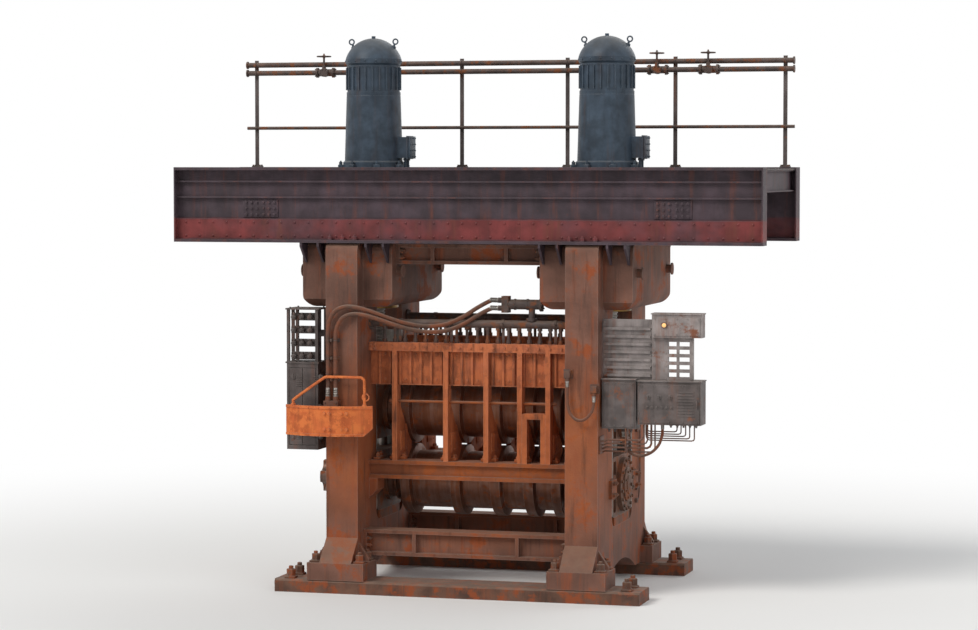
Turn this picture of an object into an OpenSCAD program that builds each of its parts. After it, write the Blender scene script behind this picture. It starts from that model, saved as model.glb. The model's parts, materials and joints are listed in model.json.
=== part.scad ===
// Two-high reversing rolling mill stand, at real size, in millimetres.
// X runs along the roll axes, Y along the rolling direction, Z up.
// The origin lies on the underside of the sole plates, midway between the housings.

/* [Pass line] */
// Height of the pass line above the underside of the sole plates
pass_z = 1850; // [1750:10:2000]
// Distance between the centre planes of the two housings
housing_pitch = 3430; // [3300:10:3700]

/* [Housing] */
// Width of a post along the roll axis
post_w = 460; // [420:10:520]
// Depth of a post along the rolling direction
post_d = 860; // [760:10:940]
// Width of the window that the chocks slide in
window_w = 1240; // [1180:10:1300]
// Radius of the window's corners
window_r = 150; // [80:10:180]
// Height of the window's sill above the sole plates' underside
sill_z = 900; // [860:10:940]
// Height of the window's top above the pass line
window_rise = 2100; // [2050:10:2200]
// Height of the crown above the window
crown_h = 900; // [800:10:1000]
// Overhang of the crown beyond each side of a post
shoulder_w = 425; // [380:5:460]
// Set-back of the shoulders behind the post's front face
shoulder_back = 260; // [200:10:300]
// Radius that rounds the shoulders' lower corners, seen from the front
shoulder_r = 170; // [100:10:200]
// Bevel along the shoulders' lower front and rear edges
shoulder_bevel = 110; // [60:10:160]
// Radius that rounds the crown's upper corners in side view
crown_r = 120; // [80:10:180]
// Reach of the feet beyond the posts
foot_out = 320; // [240:10:380]
// Height of the feet above the sole plates
foot_h = 240; // [200:10:300]
// Width of the feet along the roll axis
foot_w = 820; // [700:10:900]
// Thickness of the ribs between the feet and the posts
foot_rib_t = 60; // [40:5:80]
// Height of those ribs above the feet
foot_rib_h = 260; // [200:10:300]
// Clear width of the arch under the lower crosspiece
arch_w = 1700; // [1500:50:1900]
// Rise of that arch
arch_rise = 210; // [150:10:260]
// Diameter of the lifting trunnions on the crowns
trunnion_d = 120; // [90:5:150]
// Reach of the trunnions
trunnion_l = 90; // [60:5:120]
// Height of the ledges that carry the rest bars
ledge_h = 160; // [120:10:200]
// Reach of those ledges from the posts
ledge_l = 120; // [90:5:150]

/* [Separators] */
// Depth of the separators along the rolling direction
sep_d = 320; // [260:10:340]
// Thickness of their webs
sep_web_t = 160; // [100:10:180]
// Thickness of their flanges, end plates and ribs
sep_flange_t = 50; // [40:5:60]
// Height of the top separators
top_sep_h = 280; // [240:10:300]
// Height of the bottom separators
low_sep_h = 360; // [300:10:400]
// Height of the bottom separators above the feet
low_sep_z = 60; // [40:5:100]

/* [Sole plates] */
// Thickness of the sole plates
sole_t = 180; // [140:10:220]
// Width of a sole plate
sole_w = 620; // [560:10:700]
// Length of a sole plate
sole_l = 5200; // [5000:50:5600]
// Diameter of the foundation bolt holes
anchor_d = 90; // [70:2:100]
// Distance of the holes from the sole plate's ends
anchor_end = 200; // [150:10:240]
// Distance between the two holes of a pair across the plate
anchor_w = 360; // [300:10:420]
// Bevel of the sole plates' upper edges
sole_bevel = 25; // [15:5:40]

/* [Rolls] */
// Diameter of the rolls over their collars
roll_d = 1000; // [940:10:1040]
// Length of the roll barrels
barrel_l = 2360; // [2300:10:2500]
// Gap between the collars at rest
roll_gap = 20; // [16:1:40]
// Depth of the passes cut into each roll
groove_depth = 95; // [70:5:110]
// Taper of a pass wall along the roll
groove_taper = 22; // [15:1:30]
// Widths of the pass bottoms, from the left
groove_w = [560, 400, 300, 220];
// Diameter of the roll necks
neck_d = 540; // [500:10:560]
// Diameter over the four-lobed driving ends
wobbler_d = 460; // [420:10:480]
// Length of the driving ends
wobbler_l = 420; // [300:10:500]
// Highest lift of the top roll from rest
lift = 200; // [150:10:220]

/* [Chocks] */
// Height of a chock
chock_h = 840; // [800:10:880]
// Thickness of the wear liners in the window
liner_t = 30; // [20:1:40]
// Clearance of a chock to each liner
chock_clear = 5; // [5:0.5:8]
// Clearance of a neck in its bearing
neck_clear = 1; // [0.5:0.1:2]
// Diameter of the bearing covers
cover_d = 760; // [700:10:800]
// Thickness of the bearing covers
cover_t = 70; // [50:5:90]
// Diameter of the balance plungers
plunger_d = 120; // [90:5:130]
// Depth of the plungers in their cylinders at rest
plunger_in = 290; // [260:10:320]
// Bevel of the chocks' corners
chock_bevel = 60; // [40:5:80]
// Depth of the cored pockets in the chocks' outer faces
pocket_d = 60; // [30:5:90]
// Thickness of the keeper plates
keeper_t = 45; // [35:5:55]
// Height of the keeper plates
keeper_h = 260; // [200:10:300]
// Overlap of the keeper plates over the chocks
keeper_over = 75; // [60:5:90]
// Reach of the keeper plates onto the posts
keeper_l = 190; // [150:10:220]

/* [Screwdown] */
// Diameter of the pressure screws
screw_d = 320; // [280:10:360]
// Clearance round a pressure screw in the crown and in its gear case
screw_clear = 4; // [3:0.5:4.5]
// Outer diameter of the pressure nuts
nut_d = 560; // [500:10:600]
// Height of the pressure nuts inside the crown
nut_h = 760; // [600:10:780]
// Height of the nuts' collars under the crown
nut_collar_h = 60; // [40:5:70]
// Outer diameter of those collars
nut_collar_d = 700; // [680:10:740]
// Diameter of the pads under the pressure screws
pad_d = 460; // [400:10:500]
// Height of those pads
pad_h = 130; // [100:5:150]
// Outer diameter of the gear cases
case_d = 1120; // [1000:10:1180]
// Height of the gear cases
case_h = 830; // [760:10:860]
// Outer diameter of the gear cases' base flanges
case_flange_d = 1220; // [1180:10:1240]
// Diameter of the worm housings
worm_d = 420; // [380:10:460]
// Length of the worm housings
worm_l = 980; // [900:10:1060]
// Height of the worms' axis above the crowns
worm_rise = 430; // [400:10:450]
// Length of the worm housings' bearing noses
worm_nose_l = 60; // [40:5:80]
// Diameter of the motor bodies
motor_d = 750; // [680:10:800]
// Diameter of the motor domes
dome_d = 800; // [760:10:860]
// Height of the motors above the deck
motor_h = 1840; // [1700:10:2000]
// Height of the motors' domes
dome_h = 300; // [240:10:340]
// Diameter of the motors' base flanges
motor_foot_d = 880; // [860:10:900]
// Height of the tapered skirts under the motor bodies
skirt_h = 1040; // [900:10:1100]
// Reach of the motors' terminal boxes beyond the skirts
terminal_l = 190; // [150:10:220]
// Height of the terminal boxes
terminal_h = 300; // [240:10:340]
// Width of the terminal boxes
terminal_w = 260; // [200:10:300]
// Diameter of the cross shaft
shaft_d = 130; // [100:5:160]
// Diameter of the cross shaft's coupling flanges
coupling_d = 360; // [300:10:400]
// Thickness of a coupling flange
coupling_t = 150; // [110:5:180]
// Diameter of the coupling's hubs and of its middle disc
hub_d = 280; // [220:10:320]
// Length of a hub beyond its coupling flange
hub_l = 130; // [90:5:160]
// Length of the collars at the cross shaft's ends
collar_l = 60; // [40:5:80]

/* [Rest bars and guides] */
// Drop of the rest bars' top below the pass line
rest_drop = 60; // [40:5:80]
// Height of a rest bar
rest_h = 260; // [220:10:300]
// Depth of a rest bar along the rolling direction
rest_d = 320; // [280:10:340]
// Set-back of a rest bar behind the side of the windows
rest_back = 20; // [5:5:60]
// Thickness of a guide plate
guide_t = 70; // [50:5:90]
// Height of the guides' heads above the pass line
guide_rise = 1480; // [1400:10:1550]
// Depth of the guides' heads and of the beams on them
beam_d = 180; // [150:10:220]
// Height of those beams
beam_h = 120; // [90:10:150]
// Height of the guides' noses above the pass line
nose_rise = 420; // [380:10:460]
// Height of the guides' necks above the pass line
neck_rise = 700; // [640:10:760]
// Height of the stirrup above the pass line
stirrup_rise = 640; // [560:10:700]
// Width of the stirrup's legs
stirrup_t = 70; // [50:5:80]
// Depth of the stirrup
stirrup_d = 120; // [90:5:150]
// Reach of the noses towards the roll gap, from the centre plane
nose_y = 250; // [220:10:300]
// Clearance between the guides and the rolls
nose_clear = 25; // [20:1:40]

/* [Deck] */
// Height of the deck girders
girder_h = 1050; // [950:10:1150]
// Length of the deck
deck_l = 8400; // [8000:50:9000]
// Distance of the girder webs from the centre plane
girder_y = 1330; // [1300:5:1330]
// Width of the girder flanges
flange_w = 300; // [260:10:300]
// Thickness of the girder flanges
flange_t = 40; // [30:2:50]
// Thickness of the girder webs
web_t = 24; // [16:2:30]
// Height of the reinforcing band along the girders' foot
band_h = 330; // [280:10:360]
// Thickness of the deck plates
deck_t = 20; // [12:1:24]
// Height of the deck beams
deck_beam_h = 300; // [240:10:340]
// Width of the deck beams
deck_beam_w = 120; // [100:5:140]
// Height of the pipe run above the deck
run_z = 1400; // [1300:10:1500]
// Height of the middle rail above the deck
mid_z = 580; // [520:10:640]
// Number of bays between the run's posts
run_bays = 5; // [4:1:6]
// Diameter of the run's pipes
run_d = 76; // [60:2:84]
// Distance between the run's two pipes
run_gap = 120; // [110:5:140]
// Diameter of the middle rail
mid_d = 48; // [40:2:60]
// Width of the run's posts
run_post_w = 60; // [50:5:80]
// Outer diameter of the valves' handwheels
wheel_d = 220; // [180:10:260]

/* [Water and hoses] */
// Outer diameter of the spray header pipes
header_d = 114; // [90:2:140]
// Height of the header pipes above the pass line
header_rise = 1870; // [1820:10:1950]
// Distance between neighbouring droppers
dropper_pitch = 150; // [120:5:200]
// Diameter of a dropper
dropper_d = 42; // [30:1:60]
// Outer diameter of the supply hoses
hose_d = 60; // [50:1:70]
// Outer diameter of the small service hoses
small_hose_d = 40; // [30:1:45]
// Distance between the two supply hoses
hose_gap = 110; // [100:5:130]
// Distance of the supply hoses from the post's face
hose_off = 70; // [60:5:80]
// Height of the branch pipe above the front header
branch_rise = 280; // [260:10:320]
// Diameter of the branch pipe
branch_d = 140; // [120:5:160]
// Height of the supply hoses' block above the pass line
block_rise = 870; // [800:10:950]
// Height of the post hose's fittings above the pass line
loop_rise = 1150; // [1100:10:1200]

/* [Side equipment] */
// Width of the valve cabinet at the left post
valve_w = 460; // [400:10:500]
// Depth of the valve cabinet
valve_d = 420; // [360:10:460]
// Height of the valve cabinet
valve_h = 1980; // [1800:10:2000]
// Height of the cabinet's closed lower part
valve_case_h = 1210; // [1000:10:1240]
// Distance of the cabinet from the left post
valve_gap = 155; // [120:5:190]
// Width of the service rack beyond the right post
rack_w = 1420; // [1300:10:1500]
// Height of the service rack's panels
rack_h = 910; // [860:10:960]
// Height of the trunking along the rack's top
trunk_h = 330; // [280:10:360]
// Width of the switch box under the rack
box_w = 890; // [800:10:900]
// Height of the switch box
box_h = 600; // [540:10:640]
// Height of the junction box beside it
junction_h = 670; // [640:10:700]
// Width of the junction box
junction_w = 470; // [420:10:500]
// Depth of the junction box
junction_d = 260; // [220:10:300]
// Depth of the switch box
box_d = 340; // [300:10:380]
// Depth of the trunking
trunk_d = 220; // [180:10:260]
// Height of the rails that carry the rack
rack_rail_h = 120; // [100:5:140]
// Set-back of the grille's end from the rack's end
grille_back = 140; // [100:10:180]
// Width of the entry guard
guard_w = 1260; // [1200:10:1300]
// Height of the entry guard
guard_h = 420; // [360:10:460]
// Depth of the entry guard's bow
guard_d = 180; // [140:10:200]
// Thickness of the entry guard
guard_t = 24; // [16:2:30]
// Height of the entry guard above the pass line
guard_rise = 330; // [280:10:380]
// Diameter of the guard rail's tube
rail_d = 40; // [34:2:44]

/* [Hidden] */
$fn = 48;

// Colours
CAST = "#6f5a4f";
WORN = "#8a5d40";
STEEL = "#8f8c88";
DARK = "#2d3138";
DECK = "#4d3d47";
BRONZE = "#9a7a3c";
HOSE = "#5c4238";

// Heights
window_top = pass_z + window_rise;
housing_top = window_top + crown_h;
deck_top = housing_top + girder_h;
bottom_z = pass_z - roll_d / 2 + groove_depth;
top_z = bottom_z + roll_d + roll_gap;
rest_top = pass_z - rest_drop;
guide_top = pass_z + guide_rise;
header_z = pass_z + header_rise;

// Depths and widths
half_d = window_w / 2 + post_d;
shoulder_y = half_d - shoulder_back;
foot_y = half_d + foot_out;
house_x = housing_pitch / 2;
in_x = house_x - post_w / 2;
out_x = house_x + post_w / 2;
crown_x = post_w / 2 + shoulder_w;
sole_y = foot_y - sole_w / 2;
chock_w = window_w - 2 * liner_t - 2 * chock_clear;
plunger_y = chock_w / 2 - plunger_d - 40;
rest_y = window_w / 2 + rest_back;
rest_mid = rest_y + rest_d / 2;
rest_end = rest_y + rest_d;
beam_y = rest_end - beam_d / 2;
foot_top = sole_t + foot_h;

// Gap between pieces that bear on each other, and how far a cut runs past a face
seat = 0.3;
past = 1;

// Screwdown
screw_low = top_z + chock_h / 2;
screw_top = housing_top + case_h - lift - 60;
screw_bore = screw_d + 2 * screw_clear;
worm_y = case_d / 2 + 60;
worm_z = housing_top + worm_rise;
worm_end = worm_l / 2 + worm_nose_l;

// Rolls and covers
cover_x = out_x + cover_t;
neck_end = out_x + 30;
drive_x = cover_x + 30;

// Water
dropper_low = guide_top + beam_h;
dropper_n = floor((2 * in_x - 2 * dropper_pitch) / dropper_pitch);
branch_x = 380;
branch_z = header_z + branch_rise;

// Deck
deck_beam_x = [1000, 2400, 3250, deck_l / 2 - 100];
plate_z = deck_top - flange_t;
run_y = girder_y + 60;
run_span = deck_l - 400;
valve_x = [-2900, 2150, 2900];

// Side equipment
cabinet_x = -out_x - valve_gap;
cabinet_y = -half_d + 110;
cabinet_z = window_top - 20 - valve_h;
rack_y = -half_d + 180;
rack_top = window_top - 20;
rack_low = rack_top - rack_h;
rack_end = out_x + rack_w;
grille_x = out_x + rack_w / 2;
guard_low = pass_z + guard_rise;
guard_high = guard_low + guard_h;
guard_x = -house_x - 145;
guard_y = foot_y - 20;
guard_r = (guard_w * guard_w / 4 + guard_d * guard_d) / (2 * guard_d);
rail_half = 520;
rail_r = guard_r - guard_t - rail_d / 2 - 2 * seat;
rail_y = guard_y - guard_r + sqrt(rail_r * rail_r - rail_half * rail_half);

// Passes along the rolls: where each pass starts and where each collar lies
groove_n = len(groove_w);
function total(v, n) = n == 0 ? 0 : v[n - 1] + total(v, n - 1);
collar_w = (barrel_l - total(groove_w, groove_n) - 2 * groove_n * groove_taper) / (groove_n + 1);
function groove_x(i) = -barrel_l / 2 + collar_w * (i + 1) + total(groove_w, i) + 2 * groove_taper * i;
function collar_x(i) = groove_x(i) - collar_w / 2;

// Hose routes, from one fitting to the other
SUPPLY_ROUTE = [
  [0, 0, 0], [0, 0, 200], [0, 0, 450], [0, 0, 700], [0, 0, 900], [25, 0, 1060], [110, 0, 1190],
  [260, 0, 1250], [450, 0, 1235], [650, 60, 1170], [860, 150, 1085], [1090, 260, 1010],
  [1330, 370, 975], [1560, 480, 1000], [1780, 580, 1100], [1960, 650, 1220], [2110, 680, 1305],
  [2190, 680, 1335], [2270, 680, 1335]
];
POST_ROUTE = [
  [0, 0, 0], [0, 0, -120], [5, -10, -280], [45, -30, -430], [140, -45, -520], [250, -40, -515],
  [340, -20, -420], [370, 0, -300], [370, 0, -200]
];
RACK_ROUTE = [
  [0, 0, 0], [0, 0, -80], [25, -15, -190], [110, -35, -285], [250, -45, -320], [390, -40, -275],
  [495, -25, -170], [540, -10, -40], [545, 0, 40], [545, 0, 120]
];
RAIL_ROUTE = [
  [0, 0], [0, 60], [0, 100], [30, 150], [420, 420], [480, 450], [540, 455], [940, 455],
  [1010, 440], [1040, 380], [1040, 0]
];

// Ends of the hoses: on the left post's block, on the right post's fittings and under the rack
post_block = [-house_x - 175, -half_d, pass_z + block_rise];
loop_start = [in_x + 50, -half_d - 70, pass_z + loop_rise];
loop_span = POST_ROUTE[len(POST_ROUTE) - 1];
rack_start = [out_x + 300, rack_y + 70, rack_low - junction_h - 50];
rack_span = RACK_ROUTE[len(RACK_ROUTE) - 1];

// Helpers

// Turns a drawing of Y and Z into a plate of thickness t across X
module plate_x(t) {
  rotate([90, 0, 90]) linear_extrude(height = t, center = true) children();
}

// Turns a drawing of X and Z into a plate of thickness t across Y
module plate_y(t) {
  rotate([90, 0, 0]) linear_extrude(height = t, center = true) children();
}

// Rectangle between two corners
module box2(a, b) {
  translate(a) square([b[0] - a[0], b[1] - a[1]]);
}

// Box between two corners
module box3(a, b) {
  translate(a) cube([b[0] - a[0], b[1] - a[1], b[2] - a[2]]);
}

// What rounding takes off a corner that lies at the origin, with the solid towards dir
module corner_cut(dir, r) {
  difference() {
    square(2 * r, center = true);
    translate(r * dir) circle(r);
  }
}

// Rectangle between two corners, with its upper corners rounded and its lower ones too where low_r is over 0
module soft_box2(a, b, low_r, high_r) {
  difference() {
    box2(a, b);
    if (low_r > 0) {
      translate(a) corner_cut([1, 1], low_r);
      translate([b[0], a[1]]) corner_cut([-1, 1], low_r);
    }
    translate([a[0], b[1]]) corner_cut([1, -1], high_r);
    translate(b) corner_cut([-1, -1], high_r);
  }
}

// Cylinder along X from x0 to x1
module rod_x(d, x0, x1) {
  translate([x0, 0, 0]) rotate([0, 90, 0]) cylinder(d = d, h = x1 - x0);
}

// Cylinder that reaches towards -Y from the plane of Y = 0
module boss_y(d, h) {
  rotate([90, 0, 0]) cylinder(d = d, h = h);
}

// Copies on both sides of the centre plane across Y
module both_y() {
  children();
  mirror([0, 1, 0]) children();
}

// Copies on both sides of the centre plane across X
module both_x() {
  children();
  mirror([1, 0, 0]) children();
}

// Foundation

module sole_shape() {
  w = sole_w / 2;
  c = sole_bevel;
  polygon([[-w, 0], [w, 0], [w, sole_t - c], [w - c, sole_t], [-w + c, sole_t], [-w, sole_t - c]]);
}

module sole_plate(s) {
  color(WORN)
  translate([0, s * sole_y, 0])
  difference() {
    plate_x(sole_l) sole_shape();
    for (x = [-1, 1], y = [-1, 1])
      translate([x * (sole_l / 2 - anchor_end), y * anchor_w / 2, -past])
        cylinder(d = anchor_d, h = sole_t + 2 * past);
  }
}

// Housings

module window_shape() {
  soft_box2([-window_w / 2, sill_z], [window_w / 2, window_top], window_r, window_r);
}

module arch_shape() {
  arch_r = (arch_w * arch_w / 4 + arch_rise * arch_rise) / (2 * arch_rise);
  translate([0, sole_t + arch_rise - arch_r]) circle(arch_r);
}

module frame_shape() {
  difference() {
    union() {
      soft_box2([-half_d, sole_t], [half_d, housing_top], 0, crown_r);
      polygon([
        [-foot_y, sole_t], [foot_y, sole_t], [foot_y, foot_top],
        [half_d, foot_top + foot_out], [-half_d, foot_top + foot_out], [-foot_y, foot_top]
      ]);
    }
    window_shape();
    arch_shape();
  }
}

// The crown in side view, with bevelled lower edges and rounded upper ones
module crown_side_shape() {
  difference() {
    soft_box2([-shoulder_y, window_top], [shoulder_y, housing_top], 0, crown_r);
    for (m = [-1, 1])
      translate([m * shoulder_y, window_top]) rotate(45) square(sqrt(2) * shoulder_bevel, center = true);
  }
}

// The crown from the front, with rounded lower corners
module crown_front_shape() {
  difference() {
    box2([-crown_x, window_top], [crown_x, housing_top]);
    for (m = [-1, 1]) translate([m * crown_x, window_top]) corner_cut([-m, 1], shoulder_r);
  }
}

module crown_block() {
  intersection() {
    plate_x(2 * crown_x) crown_side_shape();
    plate_y(2 * half_d) crown_front_shape();
  }
}

module housing_foot() {
  inner = post_w / 2 - past;
  outer = foot_w / 2 - 30;
  box3([-foot_w / 2, foot_y - sole_w, sole_t], [foot_w / 2, foot_y, foot_top]);
  both_x() translate([0, half_d - foot_rib_t, 0]) plate_y(foot_rib_t)
    polygon([
      [inner, foot_top - past], [outer, foot_top - past],
      [outer, foot_top + 40], [inner, foot_top + foot_rib_h]
    ]);
}

// Ledge on the inner face of a post, with a sloping underside, for the end of a rest bar
module rest_ledge() {
  high = rest_top - rest_h;
  translate([0, rest_mid, 0]) plate_y(rest_d)
    polygon([[past, high - ledge_h - ledge_l], [past, high], [-ledge_l, high], [-ledge_l, high - ledge_h]]);
}

// Lifting trunnion with a rim at its end
module trunnion() {
  rod_x(trunnion_d, -past, trunnion_l);
  rod_x(trunnion_d + 50, trunnion_l - 20, trunnion_l);
}

module housing(s) {
  color(CAST)
  translate([s * house_x, 0, 0])
  difference() {
    union() {
      plate_x(post_w) frame_shape();
      crown_block();
      both_y() housing_foot();
      both_y() mirror([s < 0 ? 1 : 0, 0, 0]) translate([-post_w / 2, 0, 0]) rest_ledge();
      both_y() both_x() translate([crown_x, shoulder_y - 260, housing_top - 400]) trunnion();
    }
    translate([0, 0, window_top - past]) cylinder(d = nut_d + 2 * seat, h = nut_h + past);
    translate([0, 0, window_top + nut_h - past]) cylinder(d = screw_bore, h = crown_h - nut_h + 2 * past);
  }
}

module window_liners(s) {
  low = sill_z + window_r;
  high = window_top - window_r - nut_collar_h - lift;
  color(STEEL)
  translate([s * house_x, 0, 0])
  both_y()
    box3([-post_w / 2, window_w / 2 - liner_t, low], [post_w / 2, window_w / 2, high]);
}

// Separators between the housings

// Beam with a thick web, flanges, end plates and two ribs, from z0 to z1
module separator(reach, y, z0, z1) {
  side_d = (sep_d - sep_web_t) / 2;
  color(CAST)
  translate([0, y, 0]) {
    plate_x(2 * reach) difference() {
      box2([-sep_d / 2, z0], [sep_d / 2, z1]);
      both_x() translate([sep_d / 2, (z0 + z1) / 2])
        square([2 * side_d, z1 - z0 - 2 * sep_flange_t], center = true);
    }
    both_x() box3([reach - sep_flange_t, -sep_d / 2, z0], [reach, sep_d / 2, z1]);
    both_x() box3([(reach - sep_flange_t) / 2, -sep_d / 2, z0], [(reach + sep_flange_t) / 2, sep_d / 2, z1]);
  }
}

module top_separator(s) {
  high = housing_top - 20;
  separator(house_x - crown_x, s * (shoulder_y - shoulder_r - 180), high - top_sep_h, high);
}

module bottom_separators() {
  low = foot_top + low_sep_z;
  for (s = [-1, 1])
    separator(in_x, s * (half_d - 400), low, low + low_sep_h);
}

// Screwdown

module pressure_nut(s) {
  color(BRONZE)
  translate([s * house_x, 0, window_top])
  difference() {
    union() {
      cylinder(d = nut_d, h = nut_h);
      translate([0, 0, -nut_collar_h]) cylinder(d = nut_collar_d, h = nut_collar_h);
    }
    translate([0, 0, -nut_collar_h - past])
      cylinder(d = screw_d + 2 * neck_clear, h = nut_h + nut_collar_h + 2 * past);
  }
}

module pressure_screw(s) {
  pad = pad_d / 2;
  pad_top = screw_low + pad_h;
  r = screw_d / 2;
  c = 25;
  color(STEEL)
  translate([s * house_x, 0, 0])
  rotate_extrude()
    polygon([
      [0, screw_low], [pad, screw_low], [pad, pad_top - c], [pad - c, pad_top], [r, pad_top],
      [r, screw_top - c], [r - c, screw_top], [0, screw_top]
    ]);
}

// Half outline of a gear case: base flange, drum, domed shoulder and top boss
module case_shape() {
  r = case_d / 2;
  flange_r = case_flange_d / 2;
  base = 60;
  shoulder = case_h - 130;
  polygon([
    [0, 0], [flange_r, 0], [flange_r, base], [r, base + 30], [r, shoulder - 60], [r - 60, shoulder],
    [r - 140, shoulder], [r - 160, case_h], [0, case_h]
  ]);
}

// Worm housing with bearing noses and bolted end flanges, along X
module worm_housing() {
  rod_x(worm_d, -worm_l / 2, worm_l / 2);
  rod_x(worm_d - 140, -worm_end, worm_end);
  both_x() rod_x(worm_d + 60, worm_l / 2 - 40, worm_l / 2 - 10);
}

module screwdown_case(s) {
  r = case_d / 2;
  rib = 14;
  rib_top = case_h - 220;
  color(DARK)
  translate([s * house_x, 0, housing_top])
  difference() {
    union() {
      rotate_extrude() case_shape();
      translate([0, worm_y, worm_rise]) worm_housing();
      box3([60 - worm_l / 2, 0, 60], [worm_l / 2 - 60, worm_y, worm_rise + 150]);
      for (a = [0 : 45 : 315])
        rotate([0, 0, a]) box3([r - 30, -rib, 20], [r + 40, rib, rib_top]);
    }
    translate([0, 0, -past]) cylinder(d = screw_bore, h = case_h - 20);
  }
}

// Half outline of a motor: spigot, base flange, tapered skirt, barrel, dome rim, dome and eye boss
module motor_shape() {
  r = motor_d / 2;
  foot = motor_foot_d / 2;
  cap = dome_d / 2;
  rim = motor_h - dome_h;
  ball = (cap * cap + dome_h * dome_h) / (2 * dome_h);
  polygon([
    [0, housing_top + case_h - deck_top], [r - 60, housing_top + case_h - deck_top], [r - 60, 0],
    [foot, 0], [foot, 70], [foot - 25, 90], [r + 12, skirt_h - 30], [r, skirt_h], [r, rim - 90],
    [cap, rim - 60], [cap, rim + past], [0, rim + past]
  ]);
  intersection() {
    translate([0, motor_h - ball]) circle(ball, $fn = 96);
    box2([0, rim], [cap, motor_h]);
  }
  box2([0, motor_h - 20], [28, motor_h + 30]);
}

module screwdown_motor(s) {
  r = motor_d / 2;
  box_r = motor_foot_d / 2 - 60;
  low = 130;
  w = terminal_w / 2;
  lip = 15;
  fin_low = skirt_h + 60;
  fin_high = motor_h - dome_h - 120;
  color(DARK)
  translate([s * house_x, 0, deck_top]) {
    rotate_extrude() motor_shape();
    for (a = [0 : 15 : 345])
      rotate([0, 0, a]) box3([r - 20, -7, fin_low], [r + 22, 7, fin_high]);
    box3([box_r, -w, low], [box_r + terminal_l, w, low + terminal_h]);
    box3([box_r + terminal_l - 40, -w - lip, low - lip],
      [box_r + terminal_l - 20, w + lip, low + terminal_h + lip]);
  }
}

module cross_shaft() {
  reach = house_x - worm_end - seat;
  disc = 20;
  color(STEEL)
  translate([0, worm_y, worm_z]) {
    rod_x(shaft_d, -reach, reach);
    rod_x(hub_d, -disc, disc);
    both_x() {
      rod_x(coupling_d, disc, disc + coupling_t);
      rod_x(hub_d - 30, 0, disc + coupling_t + hub_l);
      rod_x(hub_d, reach - collar_l, reach);
      rod_x((shaft_d + hub_d) / 2, reach - 2.5 * collar_l, reach);
    }
  }
}

// Chocks and what holds them

module chock_shape() {
  c = chock_bevel;
  h = chock_h / 2;
  w = chock_w / 2;
  polygon([
    [-w, c - h], [c - w, -h], [w - c, -h], [w, c - h],
    [w, h - c], [w - c, h], [c - w, h], [-w, h - c]
  ]);
}

// Cored pocket between the cover and a corner of the chock, with round corners
module pocket_shape() {
  w = chock_w / 2 - chock_bevel;
  h = chock_h / 2 - chock_bevel;
  r = 30;
  low_y = cover_d / 2 - 10;
  low_z = keeper_h / 2 + 40;
  difference() {
    box2([low_y, low_z], [w, h]);
    translate([low_y, low_z]) corner_cut([1, 1], r);
    translate([w, low_z]) corner_cut([-1, 1], r);
    translate([low_y, h]) corner_cut([1, -1], r);
    translate([w, h]) corner_cut([-1, -1], r);
    circle(d = cover_d + 30);
  }
}

// Chock on the side s of the stand, closed by its cover on the right and open to the drive on the left
module chock(s, z) {
  half = post_w / 2;
  cap = half + cover_t;
  throat_l = 60;
  bore_d = neck_d + 2 * neck_clear;
  color(WORN)
  translate([s * house_x, 0, z])
  difference() {
    union() {
      plate_x(post_w) chock_shape();
      mirror([s < 0 ? 1 : 0, 0, 0]) {
        rod_x(cover_d, half - past, cap);
        rod_x(neck_d + 110, -half - throat_l, past - half);
      }
    }
    mirror([s < 0 ? 1 : 0, 0, 0]) {
      rod_x(bore_d, -half - throat_l - past, s > 0 ? cap - 25 : cap + past);
      translate([half - pocket_d / 2 + past / 2, 0, 0]) plate_x(pocket_d + past)
        for (m = [0, 1], n = [0, 1]) mirror([m, 0]) mirror([0, n]) pocket_shape();
    }
    children();
  }
}

module bottom_chock(s) {
  chock(s, bottom_z)
    both_y() translate([0, plunger_y, chock_h / 2 - plunger_in - 30])
      cylinder(d = plunger_d + 2 * neck_clear, h = plunger_in + 30 + past);
}

module top_chock(s) {
  chock(s, top_z);
}

module chock_packings() {
  low = sill_z;
  high = bottom_z - chock_h / 2;
  color(STEEL)
  both_x() translate([house_x, 0, 0])
    box3([-post_w / 2, -window_w / 2 + window_r, low], [post_w / 2, window_w / 2 - window_r, high]);
}

// Plate on the posts' outer face that overlaps a chock, relieved by gap where the chock slides behind it
module keeper(z, gap) {
  half = keeper_h / 2;
  low_y = chock_w / 2 - keeper_over;
  high_y = window_w / 2 + keeper_l;
  translate([out_x, 0, z]) difference() {
    box3([0, low_y, -half], [keeper_t, high_y, half]);
    if (gap > 0) box3([-past, low_y - past, -half - past], [gap, window_w / 2, half + past]);
  }
}

module chock_keepers() {
  color(STEEL)
  both_x() both_y() {
    keeper(bottom_z, 0);
    keeper(top_z, chock_clear);
  }
}

module balance_plungers() {
  low = bottom_z + chock_h / 2 - plunger_in;
  high = top_z - chock_h / 2;
  color(STEEL)
  both_x() both_y()
    translate([house_x, plunger_y, low]) cylinder(d = plunger_d, h = high - low);
}

// Rolls

// Four-lobed driving end
module wobbler() {
  flute_r = wobbler_d / 4;
  flute_x = wobbler_d / 2 + 45;
  difference() {
    cylinder(d = wobbler_d, h = wobbler_l + 2 * past);
    for (a = [45 : 90 : 315])
      rotate([0, 0, a]) translate([flute_x, 0, -past]) cylinder(r = flute_r, h = wobbler_l + 4 * past);
  }
}

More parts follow.
